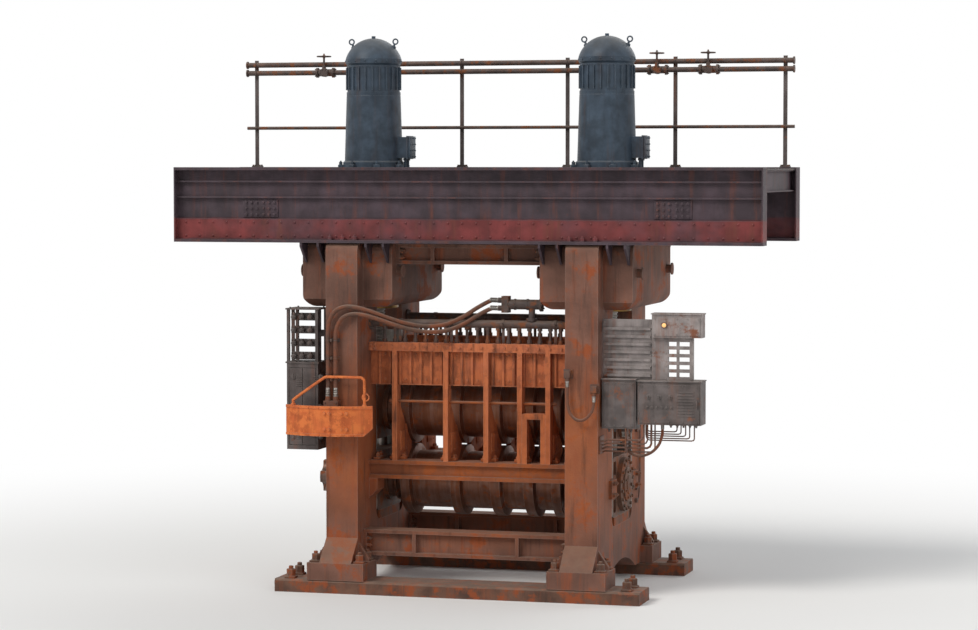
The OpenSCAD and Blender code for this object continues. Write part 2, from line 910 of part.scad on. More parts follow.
module roll(z) {
  r = roll_d / 2;
  n = neck_d / 2;
  half = barrel_l / 2;
  fillet = 30;
  bevel = 12;
  grooves = [
    for (i = [0 : groove_n - 1], k = [0 : 3])
      let (x = groove_x(i), w = groove_w[i], t = groove_taper)
      k == 0 ? [r, x] : k == 1 ? [r - groove_depth, x + t]
      : k == 2 ? [r - groove_depth, x + t + w] : [r, x + 2 * t + w]
  ];
  color(STEEL)
  translate([0, 0, z]) {
    rotate([0, 90, 0]) rotate_extrude() polygon(concat(
      [[0, -drive_x], [n, -drive_x], [n, -half - fillet], [n + fillet, -half]],
      [[r - bevel, -half], [r, bevel - half]],
      grooves,
      [[r, half - bevel], [r - bevel, half], [n + fillet, half], [n, half + fillet]],
      [[n, neck_end], [0, neck_end]]
    ));
    translate([-drive_x - wobbler_l, 0, 0]) rotate([0, 90, 0]) wobbler();
  }
}

// Rest bars, guides and stirrup

module rest_bar(s) {
  web_h = rest_h - 110;
  groove = 60;
  color(WORN)
  translate([0, s * rest_mid, 0])
  plate_x(2 * (in_x - seat)) difference() {
    box2([-rest_d / 2, rest_top - rest_h], [rest_d / 2, rest_top]);
    translate([s * rest_d / 2, rest_top - rest_h / 2]) square([2 * groove, web_h], center = true);
  }
}

// Side view of a guide plate: head, neck and nose, cut back to clear both rolls
module guide_shape() {
  clear_r = roll_d / 2 + nose_clear;
  head_y = rest_end - beam_d;
  nose_z = pass_z + nose_rise;
  difference() {
    union() {
      box2([head_y, rest_top], [rest_end, guide_top]);
      box2([nose_y, rest_top], [rest_end - 20, nose_z]);
      polygon([
        [head_y - past, nose_z - past], [rest_y - 100, nose_z - past],
        [head_y - past, pass_z + neck_rise]
      ]);
    }
    translate([0, bottom_z]) circle(clear_r);
    translate([0, top_z]) circle(clear_r);
    box2([0, top_z], [clear_r, guide_top + past]);
  }
}

module guides(s) {
  reach = in_x - seat;
  color(WORN)
  mirror([0, s < 0 ? 1 : 0, 0]) {
    for (i = [0 : groove_n])
      translate([collar_x(i), 0, 0]) plate_x(guide_t) guide_shape();
    box3([-reach, beam_y - beam_d / 2, guide_top], [reach, beam_y + beam_d / 2, guide_top + beam_h]);
  }
}

// Gate over the last pass, between the two guides beside it
module guide_stirrup() {
  last = groove_n - 1;
  half = groove_w[last] / 2 + groove_taper + (collar_w - guide_t) / 2 - seat;
  high = pass_z + stirrup_rise;
  color(WORN)
  translate([(collar_x(last) + collar_x(groove_n)) / 2, stirrup_d / 2 - rest_end, 0])
  plate_y(stirrup_d) difference() {
    soft_box2([-half, rest_top], [half, high], 0, 20);
    box2([stirrup_t - half, rest_top - past], [half - stirrup_t, high - stirrup_t - 10]);
  }
}

// Spray headers

module spray_header(s) {
  socket_d = dropper_d + 26;
  flange_d = header_d + 90;
  color(HOSE)
  translate([0, s * beam_y, 0]) {
    translate([0, 0, header_z]) rod_x(header_d, -in_x + seat, in_x - seat);
    for (i = [0 : dropper_n])
      translate([(i - dropper_n / 2) * dropper_pitch, 0, dropper_low]) {
        cylinder(d = dropper_d, h = header_z - dropper_low);
        cylinder(d = socket_d, h = 50);
        translate([0, 0, header_z - dropper_low - header_d / 2 - 30]) cylinder(d = socket_d, h = 40);
      }
    both_x() translate([0, 0, header_z]) rod_x(flange_d, in_x - 30, in_x - seat);
  }
}

// Hose fittings: a block on the left post, a branch pipe on the front header and two small brackets

// Bracket on the post's face, with a socket that looks down at p
module fitting_down(p) {
  depth = -half_d - p[1];
  translate(p) {
    box3([-40, -40, 50], [40, depth, 140]);
    box3([-65, depth - 15, 30], [65, depth, 160]);
    cylinder(d = small_hose_d + 16, h = 51);
  }
}

module branch_pipe() {
  manifold_w = 100;
  riser_x = branch_x + 480;
  end_x = branch_x + 600;
  difference() {
    union() {
      translate([0, 0, branch_z]) {
        rod_x(branch_d, branch_x + 100, end_x);
        rod_x(branch_d + 50, end_x, end_x + 30);
        box3([branch_x + 60, -branch_d / 2, -hose_gap / 2 - 60],
          [branch_x + 60 + manifold_w, branch_d / 2, hose_gap / 2 + 60]);
        for (m = [-1, 1]) translate([0, 0, m * hose_gap / 2])
          rod_x(hose_d + 16, branch_x, branch_x + 61);
      }
      translate([riser_x, 0, header_z]) cylinder(d = branch_d - 50, h = branch_rise);
      translate([riser_x, 0, header_z + header_d / 2]) cylinder(d = branch_d + 10, h = 30);
    }
    translate([0, 0, header_z]) rod_x(header_d + 2 * seat, branch_x, end_x + 100);
  }
}

module hose_fittings() {
  color(DARK) {
    translate(post_block) {
      box3([-50, -130, -160], [hose_gap + 50, 0, -60]);
      for (i = [0, 1]) translate([i * hose_gap, -hose_off, -61]) cylinder(d = hose_d + 16, h = 61);
    }
    translate([0, -beam_y, 0]) branch_pipe();
    fitting_down(loop_start);
    fitting_down(loop_start + loop_span);
  }
}

// Hoses

function unit(v) = v / norm(v);
function tangent(p, i, first, last) = i == 0 ? first : i == len(p) - 1 ? last : unit(p[i + 1] - p[i - 1]);
function catmull(a, b, c, d, t) =
  0.5 * (2 * b + t * (c - a) + t * t * (2 * a - 5 * b + 4 * c - d) + t * t * t * (3 * b - a - 3 * c + d));
function smooth(p, n) = let (m = len(p)) [
  for (i = [0 : m - 2], k = [0 : n - 1])
    let (a = i == 0 ? 2 * p[0] - p[1] : p[i - 1], d = i == m - 2 ? 2 * p[m - 1] - p[m - 2] : p[i + 2])
    catmull(a, p[i], p[i + 1], d, k / n),
  p[m - 1]
];
function carried(prev, t) = unit(prev - (prev * t) * t);
function frames(p, i, side, first, last) =
  i == len(p) ? []
  : let (t = tangent(p, i, first, last), u = carried(side, t))
    concat([[p[i], u, cross(t, u)]], frames(p, i + 1, u, first, last));

module hose(route, d, sides, steps, side) {
  p = smooth(route, steps);
  m = len(route);
  f = frames(p, 0, side, unit(route[1] - route[0]), unit(route[m - 1] - route[m - 2]));
  n = len(p);
  pts = [
    for (q = f, k = [0 : sides - 1])
      let (a = 360 * k / sides) q[0] + d / 2 * (cos(a) * q[1] + sin(a) * q[2])
  ];
  walls = [
    for (i = [0 : n - 2], k = [0 : sides - 1])
      [i * sides + k, (i + 1) * sides + k, (i + 1) * sides + (k + 1) % sides, i * sides + (k + 1) % sides]
  ];
  caps = [[for (k = [0 : sides - 1]) k], [for (k = [sides - 1 : -1 : 0]) (n - 1) * sides + k]];
  color(HOSE) polyhedron(points = pts, faces = concat(walls, caps), convexity = 8);
}

module supply_hose(i) {
  end = SUPPLY_ROUTE[len(SUPPLY_ROUTE) - 1];
  base = post_block + [i * hose_gap, -hose_off, 0];
  goal = [branch_x, -beam_y, branch_z + (0.5 - i) * hose_gap];
  k = goal - base;
  translate(base)
    hose([for (q = SUPPLY_ROUTE) [q[0] * k[0] / end[0], q[1] * k[1] / end[1], q[2] * k[2] / end[2]]],
      hose_d, 10, 4, [0, 1, 0]);
}

module post_hose() {
  translate(loop_start) hose(POST_ROUTE, small_hose_d, 8, 4, [0, 1, 0]);
}

module rack_hose() {
  translate(rack_start) hose(RACK_ROUTE, small_hose_d, 8, 4, [0, 1, 0]);
}

// Deck

// Section of a girder: flanges, web, thicker band along its foot and two longitudinal ribs
module girder_shape() {
  f = flange_w / 2;
  w = web_t / 2;
  box2([-f, housing_top], [f, housing_top + flange_t]);
  box2([-f, deck_top - flange_t], [f, deck_top]);
  box2([-w, housing_top], [w, deck_top]);
  box2([0, housing_top + flange_t], [60, housing_top + band_h]);
  for (z = [deck_top - 210, deck_top - 430]) box2([0, z], [70, z + 20]);
}

module deck_girder(s) {
  end_t = 20;
  rib_t = 16;
  color(DECK)
  mirror([0, s < 0 ? 1 : 0, 0]) translate([0, girder_y, 0]) {
    plate_x(deck_l) girder_shape();
    both_x() box3([deck_l / 2 - end_t, -flange_w / 2, housing_top], [deck_l / 2, flange_w / 2, deck_top]);
    both_x() for (i = [0 : len(deck_beam_x) - 1]) {
      x = (deck_beam_x[i] + (i == 0 ? 0 : deck_beam_x[i - 1])) / 2;
      box3([x - rib_t / 2, 10 - flange_w / 2, housing_top], [x + rib_t / 2, 0, deck_top]);
    }
  }
}

module deck_beam() {
  reach = 2 * (girder_y - web_t / 2 - seat);
  low = plate_z - deck_beam_h;
  w = deck_beam_w / 2;
  t = 16;
  plate_y(reach) {
    box2([-w, low], [w, low + t]);
    box2([-w, plate_z - t], [w, plate_z]);
    box2([-6, low], [6, plate_z]);
  }
}

module deck_beams() {
  color(DECK) {
    deck_beam();
    both_x() for (x = deck_beam_x) translate([x, 0, 0]) deck_beam();
  }
}

module deck_plates() {
  end = deck_l / 2 - 20;
  edges = [-end, -deck_beam_x[1], -deck_beam_x[0], deck_beam_x[0], deck_beam_x[1], end];
  joint = 3;
  y = girder_y - flange_w / 2 - joint;
  color(DECK)
  difference() {
    for (i = [0 : len(edges) - 2])
      box3([edges[i] + joint, -y, plate_z], [edges[i + 1] - joint, y, plate_z + deck_t]);
    both_x() translate([house_x, 0, plate_z - past]) cylinder(d = motor_d - 80, h = deck_t + 2 * past);
  }
}

// Pipe run along the rear of the deck

// Angle-section post with a base plate, from the deck to above the upper pipe
module run_post() {
  w = run_post_w;
  t = 8;
  linear_extrude(height = run_z + 190)
    polygon([[-w / 2, 0], [w / 2, 0], [w / 2, t], [t - w / 2, t], [t - w / 2, w], [-w / 2, w]]);
  box3([-70, -40, 0], [70, w + 20, 16]);
}

module pipe_run_posts() {
  color(DARK)
  for (i = [0 : run_bays])
    translate([(i / run_bays - 0.5) * run_span, run_y, deck_top]) run_post();
}

// Handwheel with a rim, a hub and four spokes
module handwheel() {
  rim_d = 20;
  rim_r = (wheel_d - rim_d) / 2;
  rotate_extrude() translate([rim_r, 0]) circle(d = rim_d, $fn = 16);
  translate([0, 0, -20]) cylinder(d = 44, h = 40);
  rod_x(14, -rim_r, rim_r);
  rotate([0, 0, 90]) rod_x(14, -rim_r, rim_r);
}

// Gate valve in the lower pipe: end flanges, body, and bonnet, stem and handwheel in front of the upper pipe
module run_valve() {
  body = 120;
  rim_t = 30;
  stem_d = 30;
  stem_y = run_d / 2 + stem_d + 5;
  wheel_z = run_gap + run_d / 2 + 80;
  both_x() rod_x(run_d + 70, body - 10, body + rim_t - 10);
  rod_x(run_d + 30, -body, body);
  boss_y(run_d + 50, stem_y + stem_d);
  translate([0, -stem_y, 0]) {
    cylinder(d = 2 * stem_d, h = run_d / 2 + 65);
    cylinder(d = stem_d, h = wheel_z + 20);
    translate([0, 0, wheel_z]) handwheel();
  }
}

module pipe_run() {
  reach = deck_l / 2 - 60;
  pipe_y = run_y - run_d / 2 - seat;
  color(DARK) {
    for (z = [run_z, run_z + run_gap])
      translate([0, pipe_y, deck_top + z]) {
        rod_x(run_d, -reach, reach);
        both_x() rod_x(run_d + 34, reach - 20, reach);
      }
    translate([0, run_y - mid_d / 2 - seat, deck_top + mid_z]) rod_x(mid_d, -reach, reach);
    for (x = valve_x) translate([x, pipe_y, deck_top + run_z]) run_valve();
  }
}

// Side equipment

// Row of valves on a common block, with its solenoids towards the front
module valve_bank(w, d, h) {
  n = 3;
  box3([-w / 2, 0, 0], [w / 2, d, h]);
  for (i = [0 : n - 1])
    translate([(i - (n - 1) / 2) * w / n, past, h / 2]) boss_y(70, 90);
}

// Cabinet with two doors below and an open rack of valve banks above
module valve_cabinet() {
  w = valve_w / 2;
  post = 40;
  lip = 15;
  sheet = 12;
  panel_y = 170;
  door_gap = 8;
  banks = 4;
  case_top = valve_case_h + 20;
  pitch = (valve_h - case_top - 20) / banks;
  bank_h = 100;
  arm_x = w + valve_gap;
  color(DARK)
  translate([cabinet_x - w, cabinet_y, cabinet_z]) {
    difference() {
      box3([-w, 0, 0], [w, valve_d, valve_case_h]);
      box3([30 - w, -past, 60], [w - 30, 18, valve_case_h - 60]);
      for (z = [90, valve_case_h - 170], k = [0 : 3])
        box3([w - 10, 100 + k * 60, z], [w + past, 130 + k * 60, z + 80]);
    }
    for (m = [0, 1]) mirror([m, 0, 0])
      box3([door_gap / 2, 0, 60 + door_gap], [w - 30 - door_gap, 18 + past, valve_case_h - 60 - door_gap]);
    box3([-w - lip, -lip, valve_case_h - past], [w + lip, valve_d + lip, case_top]);
    box3([-w - lip, -lip, valve_h - 20], [w + lip, valve_d + lip, valve_h]);
    both_x() for (y = [0, valve_d - post])
      box3([w - post, y, case_top - past], [w, y + post, valve_h - past]);
    both_x() box3([w - 60, panel_y, case_top - past], [w - 10, panel_y + sheet, valve_h - past]);
    for (i = [0 : banks - 1])
      translate([0, panel_y - 120, case_top + 30 + i * pitch]) valve_bank(valve_w - 100, 160, bank_h);
    for (z = [300, valve_h - 400])
      box3([w - 62, panel_y - past, z], [arm_x, panel_y + 110, z + 90]);
  }
}

// Panel of width w and height h with raised horizontal ribs
module ribbed_panel(w, h) {
  n = 7;
  box3([0, 0, 0], [w, 30, h]);
  for (k = [0 : n - 1])
    box3([20, -30, 40 + k * (h - 80) / n], [w - 20, past, 75 + k * (h - 80) / n]);
}

// Closed box with a raised lid on its front face and a roof that laps over
module panel_box(w, d, h) {
  box3([0, 0, 0], [w, d, h - 15]);
  box3([25, -12, 25], [w - 25, past, h - 55]);
  box3([-10, -20, h - 16], [w + 10, d + 10, h]);
}

module service_rack() {
  grille_w = rack_end - grille_back - grille_x;
  grille_h = rack_h - trunk_h;
  color(DARK) {
    for (z = [rack_low - 300, rack_top - 260])
      box3([out_x, rack_y + 59, z], [rack_end - 200, rack_y + 160, z + rack_rail_h]);
    translate([out_x + 20, rack_y + 30, rack_low]) ribbed_panel(grille_x - out_x - 20, rack_h - 90);
    translate([grille_x + 10, rack_y - 60, rack_top - trunk_h])
      panel_box(rack_end - grille_x - 20, trunk_d, trunk_h);
    difference() {
      box3([grille_x, rack_y, rack_low], [grille_x + grille_w, rack_y + 60, rack_top - trunk_h + past]);
      for (k = [0 : 4]) {
        z = rack_low + 45 + k * (grille_h - 60) / 5;
        box3([grille_x + 225, rack_y - past, z], [grille_x + 340, rack_y + 60 + past, z + 60]);
        box3([grille_x + 370, rack_y - past, z], [grille_x + 520, rack_y + 60 + past, z + 60]);
      }
    }
    translate([rack_end - box_w + 10, rack_y - 120, rack_low - box_h]) panel_box(box_w - 20, box_d, box_h);
    translate([out_x + 30, rack_y - 60, rack_low - junction_h])
      panel_box(junction_w, junction_d, junction_h + 16);
    for (p = [rack_start, rack_start + rack_span])
      translate(p) cylinder(d = small_hose_d + 16, h = 51);
  }
}

// Ring sector of the entry guard between the radii r0 and r1, from z0 to z1
module guard_sector(r0, r1, z0, z1) {
  translate([guard_x, guard_r - guard_y, z0])
    linear_extrude(height = z1 - z0) intersection() {
      difference() {
        circle(r1, $fn = 240);
        circle(r0, $fn = 240);
      }
      box2([-guard_w / 2, -r1 - past], [guard_w / 2, guard_d - guard_r + 40]);
    }
}

// Y of the guard's outer face at x
function guard_face_y(x) = guard_r - guard_y - sqrt(guard_r * guard_r - pow(x - guard_x, 2));

module entry_guard() {
  rim = 14;
  bar = 40;
  cut = 150;
  color(WORN) {
    difference() {
      union() {
        guard_sector(guard_r - guard_t, guard_r, guard_low, guard_high);
        for (z = [guard_low, guard_high - 35])
          guard_sector(guard_r - past, guard_r + rim, z, z + 35);
      }
      translate([guard_x + guard_w / 2, -half_d, guard_low]) rotate([0, 45, 0])
        cube([cut, 2 * foot_out, cut], center = true);
    }
    for (z = [guard_low + 80, guard_high - 120], x = [-house_x - 120, -house_x + 120])
      box3([x - bar / 2, guard_face_y(x) + guard_t / 2, z], [x + bar / 2, -half_d, z + bar]);
  }
}

module guard_rail() {
  color(WORN)
  translate([guard_x - rail_half, -rail_y, guard_high - 60])
    hose([for (q = RAIL_ROUTE) [q[0], 0, q[1]]], rail_d, 12, 3, [0, 1, 0]);
}

sole_plate(-1);  // sole_plate_front
sole_plate(1);  // sole_plate_rear
housing(-1);  // housing_left
housing(1);  // housing_right
window_liners(-1);  // window_liners_left
window_liners(1);  // window_liners_right
top_separator(-1);  // top_separator_front
top_separator(1);  // top_separator_rear
bottom_separators();
pressure_nut(-1);  // pressure_nut_left
pressure_nut(1);  // pressure_nut_right
pressure_screw(-1);  // pressure_screw_left
pressure_screw(1);  // pressure_screw_right
screwdown_case(-1);  // screwdown_case_left
screwdown_case(1);  // screwdown_case_right
screwdown_motor(-1);  // screwdown_motor_left
screwdown_motor(1);  // screwdown_motor_right
cross_shaft();
bottom_chock(-1);  // bottom_chock_left
bottom_chock(1);  // bottom_chock_right
top_chock(-1);  // top_chock_left
top_chock(1);  // top_chock_right
chock_packings();
chock_keepers();
roll(bottom_z);  // bottom_roll
roll(top_z);  // top_roll
balance_plungers();
rest_bar(-1);  // rest_bar_front
rest_bar(1);  // rest_bar_rear
guides(-1);  // guides_front
guides(1);  // guides_rear
guide_stirrup();
spray_header(-1);  // spray_header_front
spray_header(1);  // spray_header_rear
hose_fittings();
supply_hose(0);  // supply_hose_upper
supply_hose(1);  // supply_hose_lower
post_hose();
rack_hose();
deck_girder(-1);  // deck_girder_front
deck_girder(1);  // deck_girder_rear
deck_beams();
deck_plates();
pipe_run_posts();
pipe_run();
valve_cabinet();
service_rack();
entry_guard();
guard_rail();
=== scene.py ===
"""Looks of a two-high reversing rolling mill stand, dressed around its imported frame.

Each sub-assembly of the stand is a class that holds its sizes, builds its small pieces and gives its nodes their
finish. Lengths are metres in the stand's frame: X along the rolls, Y along the rolling direction, Z up.
"""
import json
import logging
import math
import random
from collections.abc import Callable, Iterable, Sequence
from dataclasses import dataclass, field, replace
from enum import Enum

import bmesh
import bpy
from mathutils import Matrix, Vector


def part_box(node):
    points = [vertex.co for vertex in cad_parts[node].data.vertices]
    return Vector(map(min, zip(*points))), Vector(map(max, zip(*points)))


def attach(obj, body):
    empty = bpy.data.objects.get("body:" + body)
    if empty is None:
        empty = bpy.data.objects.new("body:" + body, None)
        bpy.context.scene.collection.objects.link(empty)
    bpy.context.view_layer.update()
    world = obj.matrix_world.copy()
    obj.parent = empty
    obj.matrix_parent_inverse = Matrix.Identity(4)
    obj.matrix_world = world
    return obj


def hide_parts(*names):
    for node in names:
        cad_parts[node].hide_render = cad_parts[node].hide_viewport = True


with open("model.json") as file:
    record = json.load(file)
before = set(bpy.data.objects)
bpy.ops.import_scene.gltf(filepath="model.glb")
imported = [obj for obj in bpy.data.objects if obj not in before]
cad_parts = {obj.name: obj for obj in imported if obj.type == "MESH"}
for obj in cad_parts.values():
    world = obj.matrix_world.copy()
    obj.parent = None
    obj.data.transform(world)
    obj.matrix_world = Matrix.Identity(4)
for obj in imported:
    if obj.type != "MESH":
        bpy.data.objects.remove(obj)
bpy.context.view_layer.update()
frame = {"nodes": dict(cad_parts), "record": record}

log = logging.getLogger("mill_stand")

Point = Sequence[float]
Colour = tuple[float, float, float]
Socket = bpy.types.NodeSocket

STAND = "stand"
TOP_SET = "top_set"
SIDES = {"left": -1, "right": 1}
FACES = {"front": -1, "rear": 1}
UP = Vector((0, 0, 1))
X_AXIS = Vector((1, 0, 0))
Y_AXIS = Vector((0, 1, 0))
FRONT = (0, -1, 0)


# Small helpers


def shade(code: str) -> Colour:
    """Turns a six-digit display colour into the linear colour that shaders take.

    Args:
        code: Red, green and blue as six hexadecimal digits.

    Returns:
        The linear red, green and blue.
    """
    values = [int(code[i : i + 2], 16) / 255 for i in (0, 2, 4)]
    return tuple(v / 12.92 if v <= 0.04045 else ((v + 0.055) / 1.055) ** 2.4 for v in values)


def facing(direction: Point, at: Point) -> Matrix:
    """Gives the matrix that turns +Z towards a direction and moves the origin to a point.

    Args:
        direction: Where +Z is to point.
        at: Where the origin is to lie.

    Returns:
        The placing matrix.
    """
    return Matrix.Translation(Vector(at)) @ Vector(direction).to_track_quat("Z", "Y").to_matrix().to_4x4()


def around(centre: Point, axis: Point, radius: float, count: int, turn: float = 0.0) -> list[Vector]:
    """Gives points evenly spaced on a circle.

    Args:
        centre: The circle's centre.
        axis: The circle's axis.
        radius: The circle's radius.
        count: How many points.
        turn: Angle of the first point, in degrees.

    Returns:
        The points.
    """
    place = facing(axis, centre)
    angles = [math.radians(turn + 360 * i / count) for i in range(count)]
    return [place @ Vector((radius * math.cos(a), radius * math.sin(a), 0)) for a in angles]


def spaced(low: float, high: float, count: int) -> list[float]:
    """Gives evenly spaced values from low to high, both included."""
    return [low + (high - low) * i / (count - 1) for i in range(count)]


def corners(node: str) -> tuple[Vector, Vector]:
    """Gives the lowest and the highest corner of a node of the frame."""
    low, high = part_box(node)
    return Vector(low), Vector(high)


def middle(node: str) -> Vector:
    """Gives the centre of a node's box."""
    low, high = corners(node)
    return (low + high) / 2


def only(kind: type, geometry: Iterable) -> list:
    """Gives the elements of one kind."""
    return [g for g in geometry if isinstance(g, kind)]


def mesh_of(bm: bmesh.types.BMesh, name: str) -> bpy.types.Mesh:
    """Turns a finished bmesh into a mesh and frees it."""
    mesh = bpy.data.meshes.new(name)
    bm.to_mesh(mesh)
    bm.free()
    return mesh


class Work:
    """A mesh under construction, to which shapes are added until it ends as one piece."""

    def __init__(self) -> None:
        """Starts with an empty mesh."""
        self.bm = bmesh.new()

    def _take(self, made: bmesh.types.BMesh, place: Matrix | None = None) -> "Work":
        """Welds a shape, turns its faces outwards, places it and adds it to this work.

        Args:
            made: The shape, which is used up.
            place: Its placing matrix, where it has one.

        Returns:
            This work, so that calls can be chained.
        """
        bmesh.ops.remove_doubles(made, verts=made.verts, dist=1e-6)
        bmesh.ops.recalc_face_normals(made, faces=made.faces)
        mesh = mesh_of(made, "shape")
        if place is not None:
            mesh.transform(place)
        self.bm.from_mesh(mesh)
        bpy.data.meshes.remove(mesh)
        return self

    def block(
        self, low: Point, high: Point, bevel: float = 0.004, segments: int = 2, place: Matrix | None = None
    ) -> "Work":
        """Adds a box between two corners, with rounded edges.

        Args:
            low: One corner.
            high: The corner across from it.
            bevel: Width of the rounding, or 0 for sharp edges.
            segments: Steps of the rounding.
            place: Its placing matrix, where it is turned.

        Returns:
            This work.
        """
        low, high = (Vector([pick(pair) for pair in zip(low, high)]) for pick in (min, max))
        made = bmesh.new()
        bmesh.ops.create_cube(made, size=1.0)
        bmesh.ops.scale(made, vec=high - low, verts=made.verts)
        bmesh.ops.translate(made, vec=(low + high) / 2, verts=made.verts)
        if bevel > 0:
            bmesh.ops.bevel(
                made, geom=made.edges[:], offset=bevel, offset_type="OFFSET", segments=segments,
                profile=0.5, affect="EDGES", material=-1, clamp_overlap=True,
            )
        return self._take(made, place)

    def bar(self, start: Point, end: Point, radius: float, sides: int = 20, tip: float | None = None) -> "Work":
        """Adds a round bar or a cone.

        Args:
            start: Centre of its first end.
            end: Centre of its second end.
            radius: Radius at the start.
            sides: Number of flat sides.
            tip: Radius at the end, where it differs.

        Returns:
            This work.
        """
        start, end = Vector(start), Vector(end)
        made = bmesh.new()
        bmesh.ops.create_cone(
            made, cap_ends=True, segments=sides, radius1=radius, radius2=radius if tip is None else tip,
            depth=(end - start).length,
        )
        return self._take(made, facing(end - start, (start + end) / 2))

    def turned(self, profile: Sequence[Point], at: Point, axis: Point = UP, steps: int = 32) -> "Work":
        """Adds a closed turned body.

        Args:
            profile: Pairs of radius and height along the axis, from one end to the other. An end off the axis gets a
                flat cap, and where both ends are off it, they are joined to a ring.
            at: Where height 0 lies on the axis.
            axis: Direction of the axis.
            steps: Steps round the axis.

        Returns:
            This work.
        """
        (first, low), (last, high) = profile[0], profile[-1]
        ring = first > 0 and last > 0
        outline = list(profile)
        if first > 0 and not ring:
            outline.insert(0, (0, low))
        if last > 0 and not ring:
            outline.append((0, high))
        made = bmesh.new()
        verts = [made.verts.new((r, 0, h)) for r, h in outline]
        edges = [made.edges.new(pair) for pair in zip(verts, verts[1:] + verts[:1] if ring else verts[1:])]
        bmesh.ops.spin(
            made, geom=verts + edges, cent=(0, 0, 0), axis=(0, 0, 1), angle=math.tau, steps=steps, use_merge=True
        )
        return self._take(made, facing(axis, at))

    def hoop(
        self, at: Point, axis: Point, radius: float, wire: float, sides: int = 8, steps: int = 32,
        angle: float = math.tau, turn: float = 0.0,
    ) -> "Work":
        """Adds a round wire bent to a hoop, or to a part of one.

        Args:
            at: Centre of the hoop.
            axis: Axis of the hoop.
            radius: Radius of the wire's centre line.
            wire: Radius of the wire.
            sides: Sides of the wire.
            steps: Steps along the hoop.
            angle: Angle of the bend, a full turn for a closed hoop.
            turn: Angle where the bend starts.

        Returns:
            This work.
        """
        made = bmesh.new()
        bmesh.ops.create_circle(made, cap_ends=False, segments=sides, radius=wire)
        stand_up = Matrix.Rotation(turn, 4, "Z") @ Matrix.Translation((radius, 0, 0)) @ Matrix.Rotation(math.pi / 2,
                                                                                                        4, "X")
        bmesh.ops.transform(made, matrix=stand_up, verts=made.verts)
        closed = abs(angle - math.tau) < 1e-6
        ring = made.edges[:]
        spun = bmesh.ops.spin(
            made, geom=made.verts[:] + ring, cent=(0, 0, 0), axis=(0, 0, 1), angle=angle, steps=steps, use_merge=closed
        )
        if not closed:
            last = only(bmesh.types.BMEdge, spun["geom_last"])
            bmesh.ops.holes_fill(made, edges=ring + last, sides=sides)
        return self._take(made, facing(axis, at))

    def helix(self, profile: Sequence[Point], at: Point, pitch: float, turns: int, steps: int = 24) -> "Work":
        """Adds a ridge that climbs round a vertical axis.

        Args:
            profile: Pairs of radius and height of the ridge's closed section.
            at: Where the axis starts.
            pitch: Rise of a turn.
            turns: Number of turns.
            steps: Steps in a turn.

        Returns:
            This work.
        """
        made = bmesh.new()
        verts = [made.verts.new((r, 0, h)) for r, h in profile]
        ring = [made.edges.new(pair) for pair in zip(verts, verts[1:] + verts[:1])]
        spun = bmesh.ops.spin(
            made, geom=verts + ring, cent=(0, 0, 0), axis=(0, 0, 1), dvec=(0, 0, pitch / steps),
            angle=math.tau * turns, steps=steps * turns, use_merge=False,
        )
        last = only(bmesh.types.BMEdge, spun["geom_last"])
        bmesh.ops.holes_fill(made, edges=ring + last, sides=len(profile))
        return self._take(made, Matrix.Translation(at))

    def wedge(self, outline: Sequence[Point], thickness: float) -> "Work":
        """Adds a flat plate from a closed outline, thickened towards +X.

        Args:
            outline: Points of the outline, all in one plane across X.
            thickness: The plate's thickness.

        Returns:
            This work.
        """
        made = bmesh.new()
        face = made.faces.new([made.verts.new(p) for p in outline])
        grown = bmesh.ops.extrude_face_region(made, geom=[face])["geom"]
        moved = only(bmesh.types.BMVert, grown)
        bmesh.ops.translate(made, vec=(thickness, 0, 0), verts=moved)
        return self._take(made)

    def tube(self, points: Sequence[Point], radius: float, sides: int = 10, uv: bool = False) -> "Work":
        """Adds a round tube along a line of points.

        Args:
            points: The points of its centre line.
            radius: Its radius.
            sides: Number of sides.
            uv: True to unwrap it, round and along in metres. It must then be the work's first shape.

        Returns:
            This work.
        """
        line = [Vector(p) for p in points]
        made = bmesh.new()
        ways = [(b - a).normalized() for a, b in zip(line, line[1:])]
        ways = [ways[0]] + [(a + b).normalized() for a, b in zip(ways, ways[1:])] + [ways[-1]]
        side = ways[0].orthogonal().normalized()
        ring = bmesh.ops.create_circle(made, cap_ends=True, segments=sides, radius=radius)["verts"]
        frame_of = Matrix((side, ways[0].cross(side), ways[0])).transposed().to_4x4()
        bmesh.ops.transform(made, matrix=Matrix.Translation(line[0]) @ frame_of, verts=ring)
        edges = made.edges[:]
        for i in range(1, len(line)):
            grown = bmesh.ops.extrude_edge_only(made, edges=edges)["geom"]
            ring = only(bmesh.types.BMVert, grown)
            edges = only(bmesh.types.BMEdge, grown)
            bend = ways[i - 1].rotation_difference(ways[i]).to_matrix().to_4x4()
            move = Matrix.Translation(line[i]) @ bend @ Matrix.Translation(-line[i - 1])
            bmesh.ops.transform(made, matrix=move, verts=ring)
        bmesh.ops.holes_fill(made, edges=edges, sides=sides)
        self._take(made)
        if uv:
            self._unwrap_tube(line, radius)
        return self

